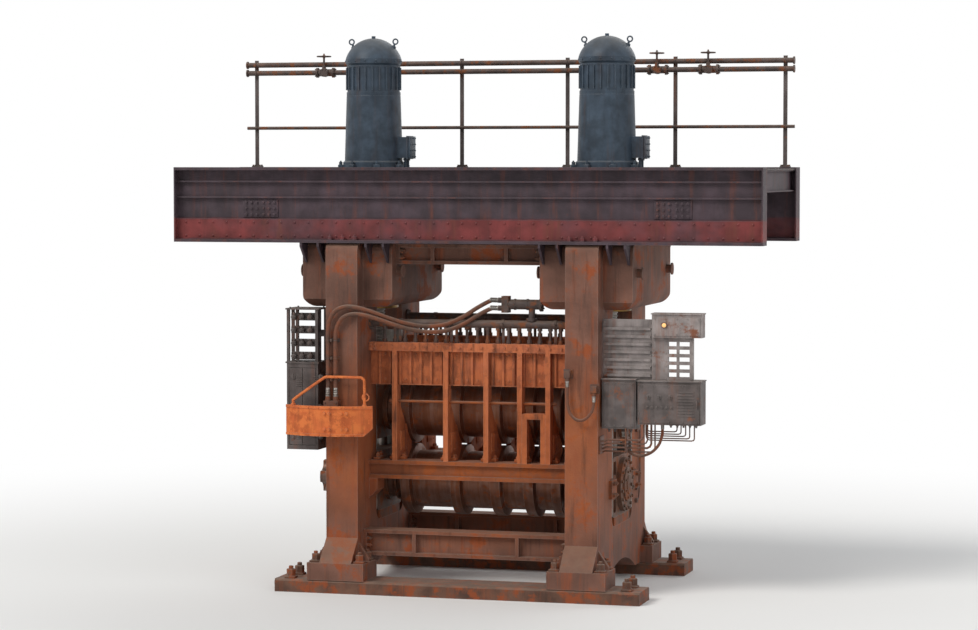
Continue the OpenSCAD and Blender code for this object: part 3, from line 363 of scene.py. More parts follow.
    def _unwrap_tube(self, line: list[Vector], radius: float) -> None:
        """Unwraps a work that is one tube: U runs round it and V along it, both in metres."""
        layer = self.bm.loops.layers.uv.verify()
        self.bm.verts.ensure_lookup_table()
        sides = len(self.bm.verts) // len(line)
        run = [0.0]
        for a, b in zip(line, line[1:]):
            run.append(run[-1] + (b - a).length)
        order = {}
        previous = None
        for row in range(len(line)):
            ring = self.bm.verts[row * sides : (row + 1) * sides]
            if previous is None:
                start = ring[0]
            else:
                start = min(ring, key=lambda v: (v.co - previous.co).length)
            previous = start
            way = (line[min(row + 1, len(line) - 1)] - line[max(row - 1, 0)]).normalized()
            zero = (start.co - line[row]).normalized()
            for v in ring:
                out = (v.co - line[row]).normalized()
                turn = math.atan2(zero.cross(out).dot(way), zero.dot(out)) % math.tau
                order[v] = (round(turn / math.tau * sides) % sides, run[row])
        for face in self.bm.faces:
            wraps = {order[loop.vert][0] for loop in face.loops} == {0, sides - 1}
            for loop in face.loops:
                step, along = order[loop.vert]
                step = sides if wraps and step == 0 else step
                loop[layer].uv = (step / sides * math.tau * radius, along)

    def stamp(self, pattern: bpy.types.Mesh, places: Iterable[Matrix]) -> "Work":
        """Adds copies of a small mesh.

        Args:
            pattern: The mesh to copy.
            places: One placing matrix for each copy.

        Returns:
            This work.
        """
        for place in places:
            copy = pattern.copy()
            copy.transform(place)
            self.bm.from_mesh(copy)
            bpy.data.meshes.remove(copy)
        return self

    def end(
        self, name: str, slot: str, body: str = STAND, finish: "Finish | None" = None, smooth: float = 35.0
    ) -> bpy.types.Object:
        """Ends the work as one piece that rides on a body.

        Args:
            name: Name of the piece.
            slot: Its material slot.
            body: The body that it rides on.
            finish: Its finish, where that isn't the slot's own.
            smooth: Edges flatter than this many degrees are shaded smooth.

        Returns:
            The finished piece.
        """
        mesh = mesh_of(self.bm, name)
        mesh.materials.append((finish or SLOT_FINISHES[slot]).material())
        mesh.shade_smooth()
        mesh.set_sharp_from_angle(angle=math.radians(smooth))
        piece = bpy.data.objects.new(name, mesh)
        bpy.context.scene.collection.objects.link(piece)
        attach(piece, body)
        log.info("%s: %d faces on %s", name, len(mesh.polygons), body)
        return piece


class Fastener(Enum):
    """Small fasteners, each a few dozen faces, one unit across its flats."""

    BOLT = "bolt"
    NUT = "nut"
    RIVET = "rivet"
    SOCKET = "socket"

    def mesh(self) -> bpy.types.Mesh:
        """Gives this fastener's mesh, made once, standing on the origin along +Z."""
        name = f"pattern_{self.value}"
        if name in bpy.data.meshes:
            return bpy.data.meshes[name]
        work = Work()
        flats = 0.5 / math.cos(math.pi / 6)
        if self is Fastener.RIVET:
            work.turned([(0.5, 0), (0.47, 0.14), (0.36, 0.27), (0.18, 0.34), (0, 0.36)], (0, 0, 0), steps=10)
        elif self is Fastener.SOCKET:
            work.turned([(0.5, 0), (0.5, 0.5), (0.46, 0.55), (0.26, 0.55), (0.26, 0.3), (0, 0.3)], (0, 0, 0), steps=12)
        else:
            work.turned([(0.64, 0), (0.64, 0.09), (0, 0.09)], (0, 0, 0), steps=12)
            high = 0.75 if self is Fastener.BOLT else 0.9
            work.turned([(flats, 0.09), (flats, high - 0.06), (flats - 0.09, high), (0, high)], (0, 0, 0), steps=6)
        if self is Fastener.NUT:
            work.turned([(0.29, 0.9), (0.29, 1.2), (0.25, 1.26), (0, 1.26)], (0, 0, 0), steps=10)
        return mesh_of(work.bm, name)

    def places(self, points: Iterable[Point], direction: Point, size: float) -> list[Matrix]:
        """Gives the placing matrices of fasteners of one size that face one way."""
        scale = Matrix.Scale(size, 4)
        return [facing(direction, p) @ Matrix.Rotation(0.3 * i, 4, "Z") @ scale for i, p in enumerate(points)]

    def add(self, work: Work, points: Iterable[Point], direction: Point, size: float) -> Work:
        """Adds fasteners of this kind to a work.

        Args:
            work: The work that takes them.
            points: Where they sit.
            direction: Where their heads point.
            size: Their width across the flats.

        Returns:
            The same work.
        """
        return work.stamp(self.mesh(), self.places(points, direction, size))


# Shader building


class Graph:
    """Writes a node tree: adds nodes, sets their sockets and links them."""

    def __init__(self, tree: bpy.types.NodeTree) -> None:
        """Takes the tree that is to be filled."""
        self.tree = tree

    def node(self, kind: str, sockets: dict | None = None, **settings: object) -> bpy.types.Node:
        """Adds a node.

        Args:
            kind: The node's type without its ShaderNode prefix.
            sockets: Values or output sockets for its inputs, by name or number.
            settings: Properties of the node.

        Returns:
            The node.
        """
        made = self.tree.nodes.new("ShaderNode" + kind)
        for key, value in settings.items():
            setattr(made, key, value)
        for key, value in (sockets or {}).items():
            if isinstance(value, Socket):
                self.tree.links.new(value, made.inputs[key])
            elif value is not None:
                made.inputs[key].default_value = value
        return made

    def maths(self, operation: str, a: object, b: object = None, clamp: bool = False) -> Socket:
        """Adds a Math node and gives its result."""
        return self.node("Math", {0: a, 1: b}, operation=operation, use_clamp=clamp).outputs[0]

    def times(self, a: object, b: object, clamp: bool = False) -> Socket:
        """Gives the product of two values."""
        return self.maths("MULTIPLY", a, b, clamp)

    def plus(self, a: object, b: object, clamp: bool = False) -> Socket:
        """Gives the sum of two values."""
        return self.maths("ADD", a, b, clamp)

    def minus(self, a: object, b: object) -> Socket:
        """Gives the difference of two values."""
        return self.maths("SUBTRACT", a, b)

    def noise(self, vector: object, scale: float, detail: float = 4.0, rough: float = 0.55) -> Socket:
        """Adds a noise texture and gives its value."""
        sockets = {"Vector": vector, "Scale": scale, "Detail": detail, "Roughness": rough}
        return self.node("TexNoise", sockets).outputs[0]

    def span(self, value: object, low: float, high: float, to_low: float = 0.0, to_high: float = 1.0) -> Socket:
        """Maps a range smoothly to another one."""
        sockets = {0: value, 1: low, 2: high, 3: to_low, 4: to_high}
        return self.node("MapRange", sockets, interpolation_type="SMOOTHSTEP").outputs[0]

    def blend(self, share: object, a: object, b: object, kind: str = "MIX") -> Socket:
        """Mixes two colours by a share and gives the result."""
        mixed = self.node("Mix", data_type="RGBA", blend_type=kind)
        for index, value in ((0, share), (6, a), (7, b)):
            if isinstance(value, Socket):
                self.tree.links.new(value, mixed.inputs[index])
            else:
                mixed.inputs[index].default_value = value if index == 0 else (*value, 1.0)
        return mixed.outputs[2]

    def group(self, effect: "Effect", **sockets: object) -> bpy.types.Node:
        """Places a shared effect with its own values."""
        return self.node("Group", {key.capitalize(): value for key, value in sockets.items()}, node_tree=effect.tree())


class Effect(Enum):
    """Effects that several finishes share, each a node group that is built once."""

    PATCHES = "patches"
    EDGE_WEAR = "edge_wear"
    CASTING_GRAIN = "casting_grain"
    SETTLED_DUST = "settled_dust"
    RUN_MARKS = "run_marks"
    PASS_HEAT = "pass_heat"

    def tree(self) -> bpy.types.NodeTree:
        """Gives this effect's node group, built at its first use."""
        if self.value in bpy.data.node_groups:
            return bpy.data.node_groups[self.value]
        tree = bpy.data.node_groups.new(self.value, "ShaderNodeTree")
        builders: dict[Effect, Callable[[Graph], None]] = {
            Effect.PATCHES: self._patches,
            Effect.EDGE_WEAR: self._edge_wear,
            Effect.CASTING_GRAIN: self._casting_grain,
            Effect.SETTLED_DUST: self._settled_dust,
            Effect.RUN_MARKS: self._run_marks,
            Effect.PASS_HEAT: self._pass_heat,
        }
        builders[self](Graph(tree))
        return tree

    def _open(self, graph: Graph, inputs: dict[str, float], outputs: Sequence[str]) -> tuple:
        """Declares a group's sockets and gives its input and output nodes."""
        face = graph.tree.interface
        for name, value in inputs.items():
            kind = "NodeSocketVector" if name == "Vector" else "NodeSocketFloat"
            made = face.new_socket(name=name, in_out="INPUT", socket_type=kind)
            if name != "Vector":
                made.default_value = value
        for name in outputs:
            face.new_socket(name=name, in_out="OUTPUT", socket_type="NodeSocketFloat")
        start = graph.tree.nodes.new("NodeGroupInput")
        stop = graph.tree.nodes.new("NodeGroupOutput")
        return start.outputs, stop.inputs, graph.tree.links

    def _patches(self, graph: Graph) -> None:
        """Irregular patches with broken edges, such as rust or flaking scale."""
        ins, outs, links = self._open(graph, {"Vector": 0, "Scale": 3, "Amount": 0.5, "Softness": 0.08}, ["Mask"])
        large = graph.noise(ins["Vector"], ins["Scale"], 7, 0.62)
        fine = graph.noise(ins["Vector"], graph.times(ins["Scale"], 9.0), 4, 0.7)
        both = graph.plus(graph.times(large, 0.78), graph.times(fine, 0.22))
        edge = graph.minus(0.78, graph.times(ins["Amount"], 0.56))
        low = graph.minus(edge, ins["Softness"])
        high = graph.plus(edge, ins["Softness"])
        links.new(graph.span(both, low, high), outs["Mask"])

    def _edge_wear(self, graph: Graph) -> None:
        """Rubbed edges and corners, broken up by noise."""
        ins, outs, links = self._open(graph, {"Vector": 0, "Radius": 0.012, "Amount": 0.6}, ["Mask"])
        rounded = graph.node("Bevel", {"Radius": ins["Radius"]}, samples=4)
        sharp = graph.node("NewGeometry")
        dot = graph.node("VectorMath", {0: rounded.outputs[0], 1: sharp.outputs["Normal"]}, operation="DOT_PRODUCT")
        bend = graph.minus(1.0, dot.outputs["Value"])
        broken = graph.noise(ins["Vector"], 22.0, 5.0, 0.65)
        level = graph.times(bend, graph.times(broken, 9.0))
        links.new(graph.times(graph.span(level, 0.12, 0.5), ins["Amount"]), outs["Mask"])

    def _casting_grain(self, graph: Graph) -> None:
        """Height of a sand-cast or scaled surface: pits on a gently uneven ground."""
        ins, outs, links = self._open(graph, {"Vector": 0, "Scale": 40, "Pits": 0.5}, ["Height", "Tone"])
        ground = graph.noise(ins["Vector"], ins["Scale"], 6, 0.6)
        cells = graph.node("TexVoronoi", {"Vector": ins["Vector"], "Scale": graph.times(ins["Scale"], 1.7)})
        pits = graph.times(graph.span(cells.outputs["Distance"], 0.0, 0.35, 1.0, 0.0), ins["Pits"])
        links.new(graph.minus(ground, pits), outs["Height"])
        slow = graph.noise(ins["Vector"], graph.times(ins["Scale"], 0.06), 5, 0.5)
        links.new(slow, outs["Tone"])

    def _settled_dust(self, graph: Graph) -> None:
        """Dust and fine scale on faces that look upwards."""
        ins, outs, links = self._open(graph, {"Vector": 0, "Amount": 0.5}, ["Mask"])
        normal = graph.node("NewGeometry").outputs["Normal"]
        up = graph.node("SeparateXYZ", {0: normal}).outputs["Z"]
        lying = graph.span(up, 0.25, 0.95)
        clumps = graph.span(graph.noise(ins["Vector"], 6.0, 8.0, 0.65), 0.28, 0.7, 0.5, 1.0)
        links.new(graph.times(graph.times(lying, clumps), ins["Amount"], clamp=True), outs["Mask"])

    def _run_marks(self, graph: Graph) -> None:
        """Runs of rusty water and oil down upright faces."""
        ins, outs, links = self._open(graph, {"Vector": 0, "Scale": 7, "Amount": 0.5}, ["Mask"])
        flat = graph.node("VectorMath", {0: ins["Vector"], 1: (1.0, 1.0, 0.09)}, operation="MULTIPLY")
        runs = graph.noise(flat.outputs[0], ins["Scale"], 6, 0.68)
        normal = graph.node("NewGeometry").outputs["Normal"]
        up = graph.maths("ABSOLUTE", graph.node("SeparateXYZ", {0: normal}).outputs["Z"])
        upright = graph.span(up, 0.2, 0.6, 1.0, 0.0)
        mask = graph.times(graph.span(runs, 0.5, 0.72), upright)
        links.new(graph.times(mask, ins["Amount"]), outs["Mask"])

    def _pass_heat(self, graph: Graph) -> None:
        """Nearness to the pass: a painted orange glow of the hot bar, over steel that heat and water have partly turned
        bright orange.
        """
        ins, outs, links = self._open(graph, {"Vector": 0, "Height": 2.05, "Reach": 1.9}, ["Mask"])
        parts = graph.node("SeparateXYZ", {0: ins["Vector"]}).outputs
        rise = graph.maths("ABSOLUTE", graph.minus(parts["Z"], ins["Height"]))
        side = graph.times(graph.maths("ABSOLUTE", parts["X"]), 0.45)
        far = graph.maths("SQRT", graph.plus(graph.maths("POWER", rise, 2.0), graph.maths("POWER", side, 2.0)))
        ragged = graph.plus(far, graph.times(graph.noise(ins["Vector"], 1.6, 5.0, 0.6), 0.9))
        share = graph.maths("DIVIDE", graph.minus(ragged, 0.45), ins["Reach"])
        links.new(graph.span(share, 0.1, 1.0, 1.0, 0.0), outs["Mask"])


# Finishes


def new_material(name: str) -> tuple[bpy.types.Material, Graph]:
    """Gives a new, empty material and the writer of its nodes."""
    made = bpy.data.materials.new(name)
    made.use_nodes = True
    made.node_tree.nodes.clear()
    return made, Graph(made.node_tree)


@dataclass(frozen=True)
class Finish:
    """A surface that several pieces may share.

    Attributes:
        name: The material's name.
    """

    name: str

    def material(self) -> bpy.types.Material:
        """Gives the finish's material, made at its first use."""
        if self.name in bpy.data.materials:
            return bpy.data.materials[self.name]
        made, graph = new_material(self.name)
        self._write(graph)
        return made

    def _write(self, graph: Graph) -> None:
        """Writes the whole material."""
        raise NotImplementedError


@dataclass(frozen=True)
class SteelFinish(Finish):
    """Steel or paint that has weathered in the mill.

    Attributes:
        ground: Main colour.
        second: Colour of the slow, large patches.
        rust: Colour of rust and run marks.
        dust: Colour of dust and fine scale.
        rub: Colour of rubbed edges.
        patch_scale: How many patches there are to a metre.
        patches: Share of the surface under the second colour.
        rusting: Share of the surface under rust.
        runs: Strength of the run marks.
        soot: Colour of the sooty streaks.
        sooting: Strength of the sooty streaks.
        dusting: Strength of the dust on top faces.
        rubbing: Strength of the rubbed edges.
        edge: Width of the rubbed edges.
        heat: Strength of the bright orange round the pass, partly heat-stained steel and partly painted glow of the hot
            bar.
        rough: Roughness of the sound surface.
        metal: How metallic the sound surface is.
        grain: Number of grain bumps to a metre.
        relief: Height of the grain, in metres.
        gloss: Specular level of the surface.
    """

    ground: str
    second: str
    rust: str = "7a4426"
    dust: str = "8c7a6c"
    rub: str = "9a948c"
    patch_scale: float = 1.6
    patches: float = 0.5
    rusting: float = 0.3
    runs: float = 0.5
    soot: str = "2a211e"
    sooting: float = 0.3
    dusting: float = 0.5
    rubbing: float = 0.5
    edge: float = 0.01
    heat: float = 0.0
    rough: float = 0.68
    metal: float = 0.0
    grain: float = 45.0
    relief: float = 0.004
    gloss: float = 0.3

    def _ground(self, graph: Graph, place: Socket) -> Socket:
        """Gives the colour of the sound surface, before weather is laid over it."""
        patches = graph.group(Effect.PATCHES, vector=place, scale=self.patch_scale, amount=self.patches, softness=0.2)
        return graph.blend(patches.outputs[0], shade(self.ground), shade(self.second))

    def _relief(self, graph: Graph, place: Socket, height: Socket) -> Socket:
        """Gives the height of the surface from its grain."""
        return height

    def _write(self, graph: Graph) -> None:
        """Writes the whole material."""
        place = graph.node("TexCoord").outputs["Object"]
        grain = graph.group(Effect.CASTING_GRAIN, vector=place, scale=self.grain, pits=0.35)
        tone = graph.span(grain.outputs["Tone"], 0.3, 0.7, 0.72, 1.22)
        colour = self._ground(graph, place)
        colour = graph.blend(1.0, colour, graph.node("CombineColor", {0: tone, 1: tone, 2: tone}).outputs[0],
                             "MULTIPLY")
        rust = graph.group(Effect.PATCHES, vector=place, scale=self.patch_scale * 2.3, amount=self.rusting,
                           softness=0.05)
        colour = graph.blend(rust.outputs[0], colour, shade(self.rust))
        rough = graph.span(rust.outputs[0], 0.0, 1.0, self.rough, 0.88)
        # Painted orange glow of the hot bar round the pass height, laid over real heat-stained steel.
        if self.heat > 0:
            glow = graph.group(Effect.PASS_HEAT, vector=place)
            share = graph.times(glow.outputs[0], self.heat)
            oxide_and_glow_colour = graph.blend(graph.noise(place, 5.0, 6.0, 0.7), shade("8a3f1c"), shade("b8662e"))
            colour = graph.blend(share, colour, oxide_and_glow_colour)
        runs = graph.group(Effect.RUN_MARKS, vector=place, scale=6.0, amount=self.runs)
        colour = graph.blend(runs.outputs[0], colour, shade(self.rust))
        apart = graph.node("VectorMath", {0: place, 1: (3.7, 1.9, 0.6)}, operation="ADD").outputs[0]
        streaks = graph.group(Effect.RUN_MARKS, vector=apart, scale=11.0, amount=self.sooting)
        colour = graph.blend(streaks.outputs[0], colour, shade(self.soot))
        wear = graph.group(Effect.EDGE_WEAR, vector=place, radius=self.edge, amount=self.rubbing)
        colour = graph.blend(wear.outputs[0], colour, shade(self.rub))
        dust = graph.group(Effect.SETTLED_DUST, vector=place, amount=self.dusting)
        colour = graph.blend(dust.outputs[0], colour, shade(self.dust))
        rough = graph.plus(graph.times(dust.outputs[0], 0.2), rough, clamp=True)
        height = self._relief(graph, place, grain.outputs["Height"])
        bump = graph.node("Bump", {"Height": height, "Strength": 0.55, "Distance": self.relief})
        sockets = {"Base Color": colour, "Roughness": rough, "Normal": bump.outputs[0]}
        if self.metal > 0:
            bare = graph.times(graph.span(rust.outputs[0], 0.0, 1.0, 1.0, 0.0), self.metal)
            sockets["Metallic"] = graph.times(bare, graph.span(dust.outputs[0], 0.0, 1.0, 1.0, 0.0))
        shader = graph.node("BsdfPrincipled", sockets)
        shader.inputs["Specular IOR Level"].default_value = self.gloss
        graph.node("OutputMaterial", {"Surface": shader.outputs[0]})


@dataclass(frozen=True)
class TurnedFinish(SteelFinish):
    """Steel turned on a lathe about an axis along X, with fine rings and scale in the passes.

    Attributes:
        rings: Number of rings to a metre.
    """

    rings: float = 260.0

    def _relief(self, graph: Graph, place: Socket, height: Socket) -> Socket:
        """Adds turned rings to the grain."""
        along = graph.node("VectorMath", {0: place, 1: (1.0, 0.02, 0.02)}, operation="MULTIPLY").outputs[0]
        rings = graph.noise(along, self.rings, 2.0, 0.8)
        return graph.plus(graph.times(height, 0.5), graph.times(rings, 0.5))

    def _ground(self, graph: Graph, place: Socket) -> Socket:
        """Gives bright rings on the collars and dark scale between them."""
        along = graph.node("VectorMath", {0: place, 1: (1.0, 0.05, 0.05)}, operation="MULTIPLY").outputs[0]
        bands = graph.span(graph.noise(along, 9.0, 6.0, 0.75), 0.38, 0.62)
        return graph.blend(bands, shade(self.ground), shade(self.second))


@dataclass(frozen=True)
class BandedFinish(SteelFinish):
    """Weathered paint with a band of another colour, which the weather lies over too.

    Attributes:
        band: Colour of the band.
        band_top: Height of the band's upper edge.
        band_low: Height of its lower edge.
    """

    band: str = "733231"
    band_top: float = 5.18
    band_low: float = 4.9

    def _ground(self, graph: Graph, place: Socket) -> Socket:
        """Lays the band over the patched ground."""
        plain = SteelFinish._ground(self, graph, place)
        high = graph.node("SeparateXYZ", {0: place}).outputs["Z"]
        uneven = graph.plus(high, graph.times(graph.noise(place, 3.0, 5.0, 0.6), 0.05))
        under = graph.span(uneven, self.band_top, self.band_top + 0.05, 1.0, 0.0)
        over = graph.span(uneven, self.band_low, self.band_low + 0.05)
        faded = graph.span(graph.noise(place, 1.3, 4.0, 0.6), 0.3, 0.6, 0.35, 1.0)
        share = graph.times(graph.times(under, over), faded)
        return graph.blend(share, plain, shade(self.band))


@dataclass(frozen=True)
class ChequerFinish(SteelFinish):
    """Tread plate with raised lozenges on its top face, and seams between its sheets.

    Attributes:
        pitch: Distance between the lozenges.
        sheet: Length of a sheet.
        seam: Width of the dark line at a seam, as a share of a sheet.
    """

    pitch: float = 0.05
    sheet: float = 1.4
    seam: float = 0.005

    def _ground(self, graph: Graph, place: Socket) -> Socket:
        """Draws sooty seams over the patched ground."""
        plain = SteelFinish._ground(self, graph, place)
        along = graph.maths("DIVIDE", graph.node("SeparateXYZ", {0: place}).outputs["X"], self.sheet)
        off = graph.maths("ABSOLUTE", graph.minus(graph.maths("FRACT", along), 0.5))
        return graph.blend(graph.span(off, self.seam / 2, self.seam, 1.0, 0.0), plain, shade(self.soot))

    def _relief(self, graph: Graph, place: Socket, height: Socket) -> Socket:
        """Adds lozenges that point two ways, in turn."""
        parts = graph.node("SeparateXYZ", {0: place}).outputs
        total = height
        for turn, shift in ((0.6, 0.0), (-0.6, 0.5)):
            u = graph.maths("DIVIDE", parts["X"], self.pitch)
            v = graph.plus(graph.maths("DIVIDE", parts["Y"], self.pitch), shift)
            fu = graph.minus(graph.maths("FRACT", graph.plus(u, shift)), 0.5)
            fv = graph.minus(graph.maths("FRACT", v), 0.5)
            long = graph.plus(graph.times(fu, turn), graph.times(fv, 0.8))
            thin = graph.minus(graph.times(fu, 0.8), graph.times(fv, turn))
            size = graph.plus(graph.maths("ABSOLUTE", graph.times(long, 2.4)),
                               graph.maths("ABSOLUTE", graph.times(thin, 9.0)))
            total = graph.plus(total, graph.times(graph.span(size, 0.7, 1.0, 1.0, 0.0), 1.4))
        return total


@dataclass(frozen=True)
class HoseFinish(Finish):
    """Woven hose cover: crossing plies of yarn under dust and heat.

    Attributes:
        name: The material's name.
        yarn: Colour of the raised yarns.
        gap: Colour between them.
        pitch: Width of a yarn, in metres.
    """

    name: str = "woven_hose"
    yarn: str = "6e4c3a"
    gap: str = "2e221d"
    pitch: float = 0.009

    def _write(self, graph: Graph) -> None:
        """Writes the whole material."""
        parts = graph.node("SeparateXYZ", {0: graph.node("UVMap").outputs[0]}).outputs
        place = graph.node("TexCoord").outputs["Object"]
        plies = []
        for sign in ("ADD", "SUBTRACT"):
            run = graph.maths(sign, graph.maths("DIVIDE", parts["X"], self.pitch),
                              graph.maths("DIVIDE", parts["Y"], self.pitch))
            plies.append(graph.maths("ABSOLUTE", graph.maths("SINE", graph.times(run, math.pi / 2))))
        weave = graph.times(plies[0], plies[1])
        colour = graph.blend(graph.span(weave, 0.15, 0.7), shade(self.gap), shade(self.yarn))
        burnt = graph.group(Effect.PATCHES, vector=place, scale=5.0, amount=0.4, softness=0.2)
        colour = graph.blend(burnt.outputs[0], colour, shade("8a4a2c"))
        dust = graph.group(Effect.SETTLED_DUST, vector=place, amount=0.55)
        colour = graph.blend(dust.outputs[0], colour, shade("9a8778"))
        bump = graph.node("Bump", {"Height": weave, "Strength": 0.7, "Distance": 0.0015})
        rough = graph.span(burnt.outputs[0], 0.0, 1.0, 0.72, 0.9)
        shader = graph.node("BsdfPrincipled", {"Base Color": colour, "Roughness": rough, "Normal": bump.outputs[0]})
        graph.node("OutputMaterial", {"Surface": shader.outputs[0]})


@dataclass(frozen=True)
class LensFinish(Finish):
    """Ribbed lens of a lamp that glows.

    Attributes:
        name: The material's name.
        core: Colour of the lit middle of a rib.
        rim: Colour between the ribs.
        glow: Strength of the light.
    """

    name: str = "lamp_glow"
    core: str = "ffcf8a"
    rim: str = "d98b45"
    glow: float = 0.55

    def _write(self, graph: Graph) -> None:
        """Writes the whole material."""
        place = graph.node("TexCoord").outputs["Object"]
        parts = graph.node("SeparateXYZ", {0: place}).outputs
        ribs = graph.maths("ABSOLUTE", graph.maths("SINE", graph.times(parts["X"], 600.0)))
        colour = graph.blend(graph.span(ribs, 0.2, 0.8), shade(self.rim), shade(self.core))
        dirt = graph.noise(place, 120.0, 4.0, 0.6)
        colour = graph.blend(graph.span(dirt, 0.55, 0.75, 0.0, 0.6), colour, shade("6b4a30"))
        shader = graph.node("BsdfPrincipled", {"Base Color": colour, "Emission Color": colour})
        shader.inputs["Emission Strength"].default_value = self.glow
        shader.inputs["Roughness"].default_value = 0.3
        graph.node("OutputMaterial", {"Surface": shader.outputs[0]})


CAST = SteelFinish(
    "cast_housing", "7d5647", "694a3e", rust="8f4a2b", dust="8b7260", rub="97857a", patch_scale=0.9, patches=0.55,
    rusting=0.38, runs=0.85, sooting=0.5, dusting=0.6, rubbing=0.35, edge=0.018, heat=0.78, rough=0.74, grain=34,
    relief=0.006,
)
WEATHERED = SteelFinish(
    "scaled_steel", "6b4c3c", "513a30", rust="8a482a", rub="8b7f76", patch_scale=2.2, rusting=0.45,
    runs=0.6, dusting=0.55, rubbing=0.4, heat=0.6, rough=0.72, grain=60, relief=0.003,
)
# Orange colours of the guides' hot side: partly rust, partly painted orange glow of the hot bar, brighter than the
# steel itself.
HOT_SIDE = SteelFinish(
    "hot_side_rust_and_glow", "8f5039", "b46745", rust="c4714a", dust="97644a", rub="b08a72", patch_scale=3.0, patches=0.55,
    rusting=0.5, runs=0.9, sooting=0.75, dusting=0.3, rubbing=0.45, heat=0.6, rough=0.78, grain=70, relief=0.004,
)
# The guard's bright orange colours are its rust with the orange light of the hot bar painted in.
GUARD = replace(
    HOT_SIDE, name="guard_rust_and_glow", ground="b7552d", second="cf6b38", rust="da7840", dust="a8623c", rub="c39a7e",
    runs=0.7, sooting=0.35, heat=0.25,
)
BRIGHT = SteelFinish(
    "machined_steel", "8f8a84", "6f6a66", rust="6d4a36", rub="c2bdb6", patch_scale=4.0, patches=0.4, rusting=0.22,
    runs=0.35, dusting=0.35, rubbing=0.6, edge=0.004, rough=0.38, metal=0.85, grain=120, relief=0.0008,
)
BRONZE = SteelFinish(
    "greasy_bronze", "8a6a35", "6b5230", rust="3d3226", rub="c29a55", patch_scale=4.0, patches=0.45, rusting=0.3,
    runs=0.5, dusting=0.2, edge=0.005, rough=0.36, metal=0.85, grain=90, relief=0.001,
)
ROLL = TurnedFinish(
    "turned_roll_iron", "6d6560", "54453d", rust="82482a", rub="b7b0a8", patch_scale=3.2, rusting=0.36,
    runs=0.0, dusting=0.2, rubbing=0.6, edge=0.008, heat=0.45, rough=0.46, metal=0.6, grain=110, relief=0.0012,
)
CHOCK = SteelFinish(
    "greasy_chock_steel", "57493f", "3f3630", rust="7b472c", rub="91877d", patch_scale=2.4, rusting=0.4,
    runs=0.6, dusting=0.4, rubbing=0.45, heat=0.35, rough=0.62, metal=0.15, grain=55, relief=0.003,
)
WORN_PAINT = {
    "patch_scale": 1.8, "runs": 0.7, "dusting": 0.6, "edge": 0.006, "rough": 0.55, "grain": 90, "relief": 0.001,
    "gloss": 0.25,
}
MACHINE = SteelFinish(
    "worn_machine_paint", "5d5553", "4d4441", rust="754b39", dust="80736a", rub="8d8781", **WORN_PAINT
)
RACK = BandedFinish(
    "worn_rack_paint", "665e5c", "554c49", rust="7f5340", dust="8a7d74", rub="969089", **WORN_PAINT,
    band="8f8683", band_top=3.97, band_low=3.02,
)
MOTOR = SteelFinish(
    "worn_motor_paint", "404d5a", "333e4a", rust="554138", dust="6a6864", rub="7d858c", patch_scale=1.8, patches=0.45,
    rusting=0.14, runs=0.4, edge=0.006, rough=0.46, grain=110, relief=0.0007, gloss=0.25,
)
DECK = BandedFinish(
    "sooty_deck_paint", "4a3c43", "3b3136", rust="6a3b2e", dust="6b5e5b", rub="6f6467", patch_scale=1.2, patches=0.5,
    rusting=0.2, runs=0.7, dusting=0.6, rubbing=0.35, rough=0.6, grain=70, relief=0.0012,
)
TREAD = ChequerFinish(
    "tread_plate", "4a4240", "3a3435", rust="5d4035", dust="62564f", rub="8f8a85", patch_scale=0.7, patches=0.5,
    rusting=0.28, runs=0.0, rubbing=0.4, rough=0.55, metal=0.3, grain=60, relief=0.003,
)
PIPE = SteelFinish(
    "rusty_pipe", "4c4341", "5a4a43", rust="7a4a30", rub="85807a", patch_scale=3.0, rusting=0.4,
    runs=0.4, rubbing=0.35, edge=0.004, heat=0.35, rough=0.58, metal=0.2, grain=110, relief=0.0012,
)
HOSE = HoseFinish()
DIAL = SteelFinish(
    "gauge_dial", "cfcabb", "b9b3a4", rust="8a8070", dust="a39c90", rub="d8d4c8", patch_scale=30.0, patches=0.4,
    rusting=0.15, runs=0.0, dusting=0.3, rubbing=0.0, rough=0.4, grain=300, relief=0.0002,
)
LENS = LensFinish()

SLOT_FINISHES = {
    "cast_steel": CAST,
    "weathered_steel": WEATHERED,
    "hot_side_steel": HOT_SIDE,
    "bright_steel": BRIGHT,
    "bronze": BRONZE,
    "roll_iron": ROLL,
    "chock_steel": CHOCK,
    "machine_paint": MACHINE,
    "motor_paint": MOTOR,
    "deck_paint": DECK,
    "deck_plate_steel": TREAD,
    "pipe_steel": PIPE,
    "hose_rubber": HOSE,
}

NODE_FINISHES = {"entry_guard": GUARD, "guard_rail": GUARD, "service_rack": RACK}


def dress_nodes() -> None:
    """Gives every node of the frame its own finish, or that of its material slot."""
    for part in frame["record"]["subparts"]:
        mesh = frame["nodes"][part["node"]].data
        mesh.materials.clear()
        finish = NODE_FINISHES.get(part["node"], SLOT_FINISHES[part["material_slot"]])
        mesh.materials.append(finish.material())
    log.info("%d nodes dressed", len(frame["nodes"]))


# Studio


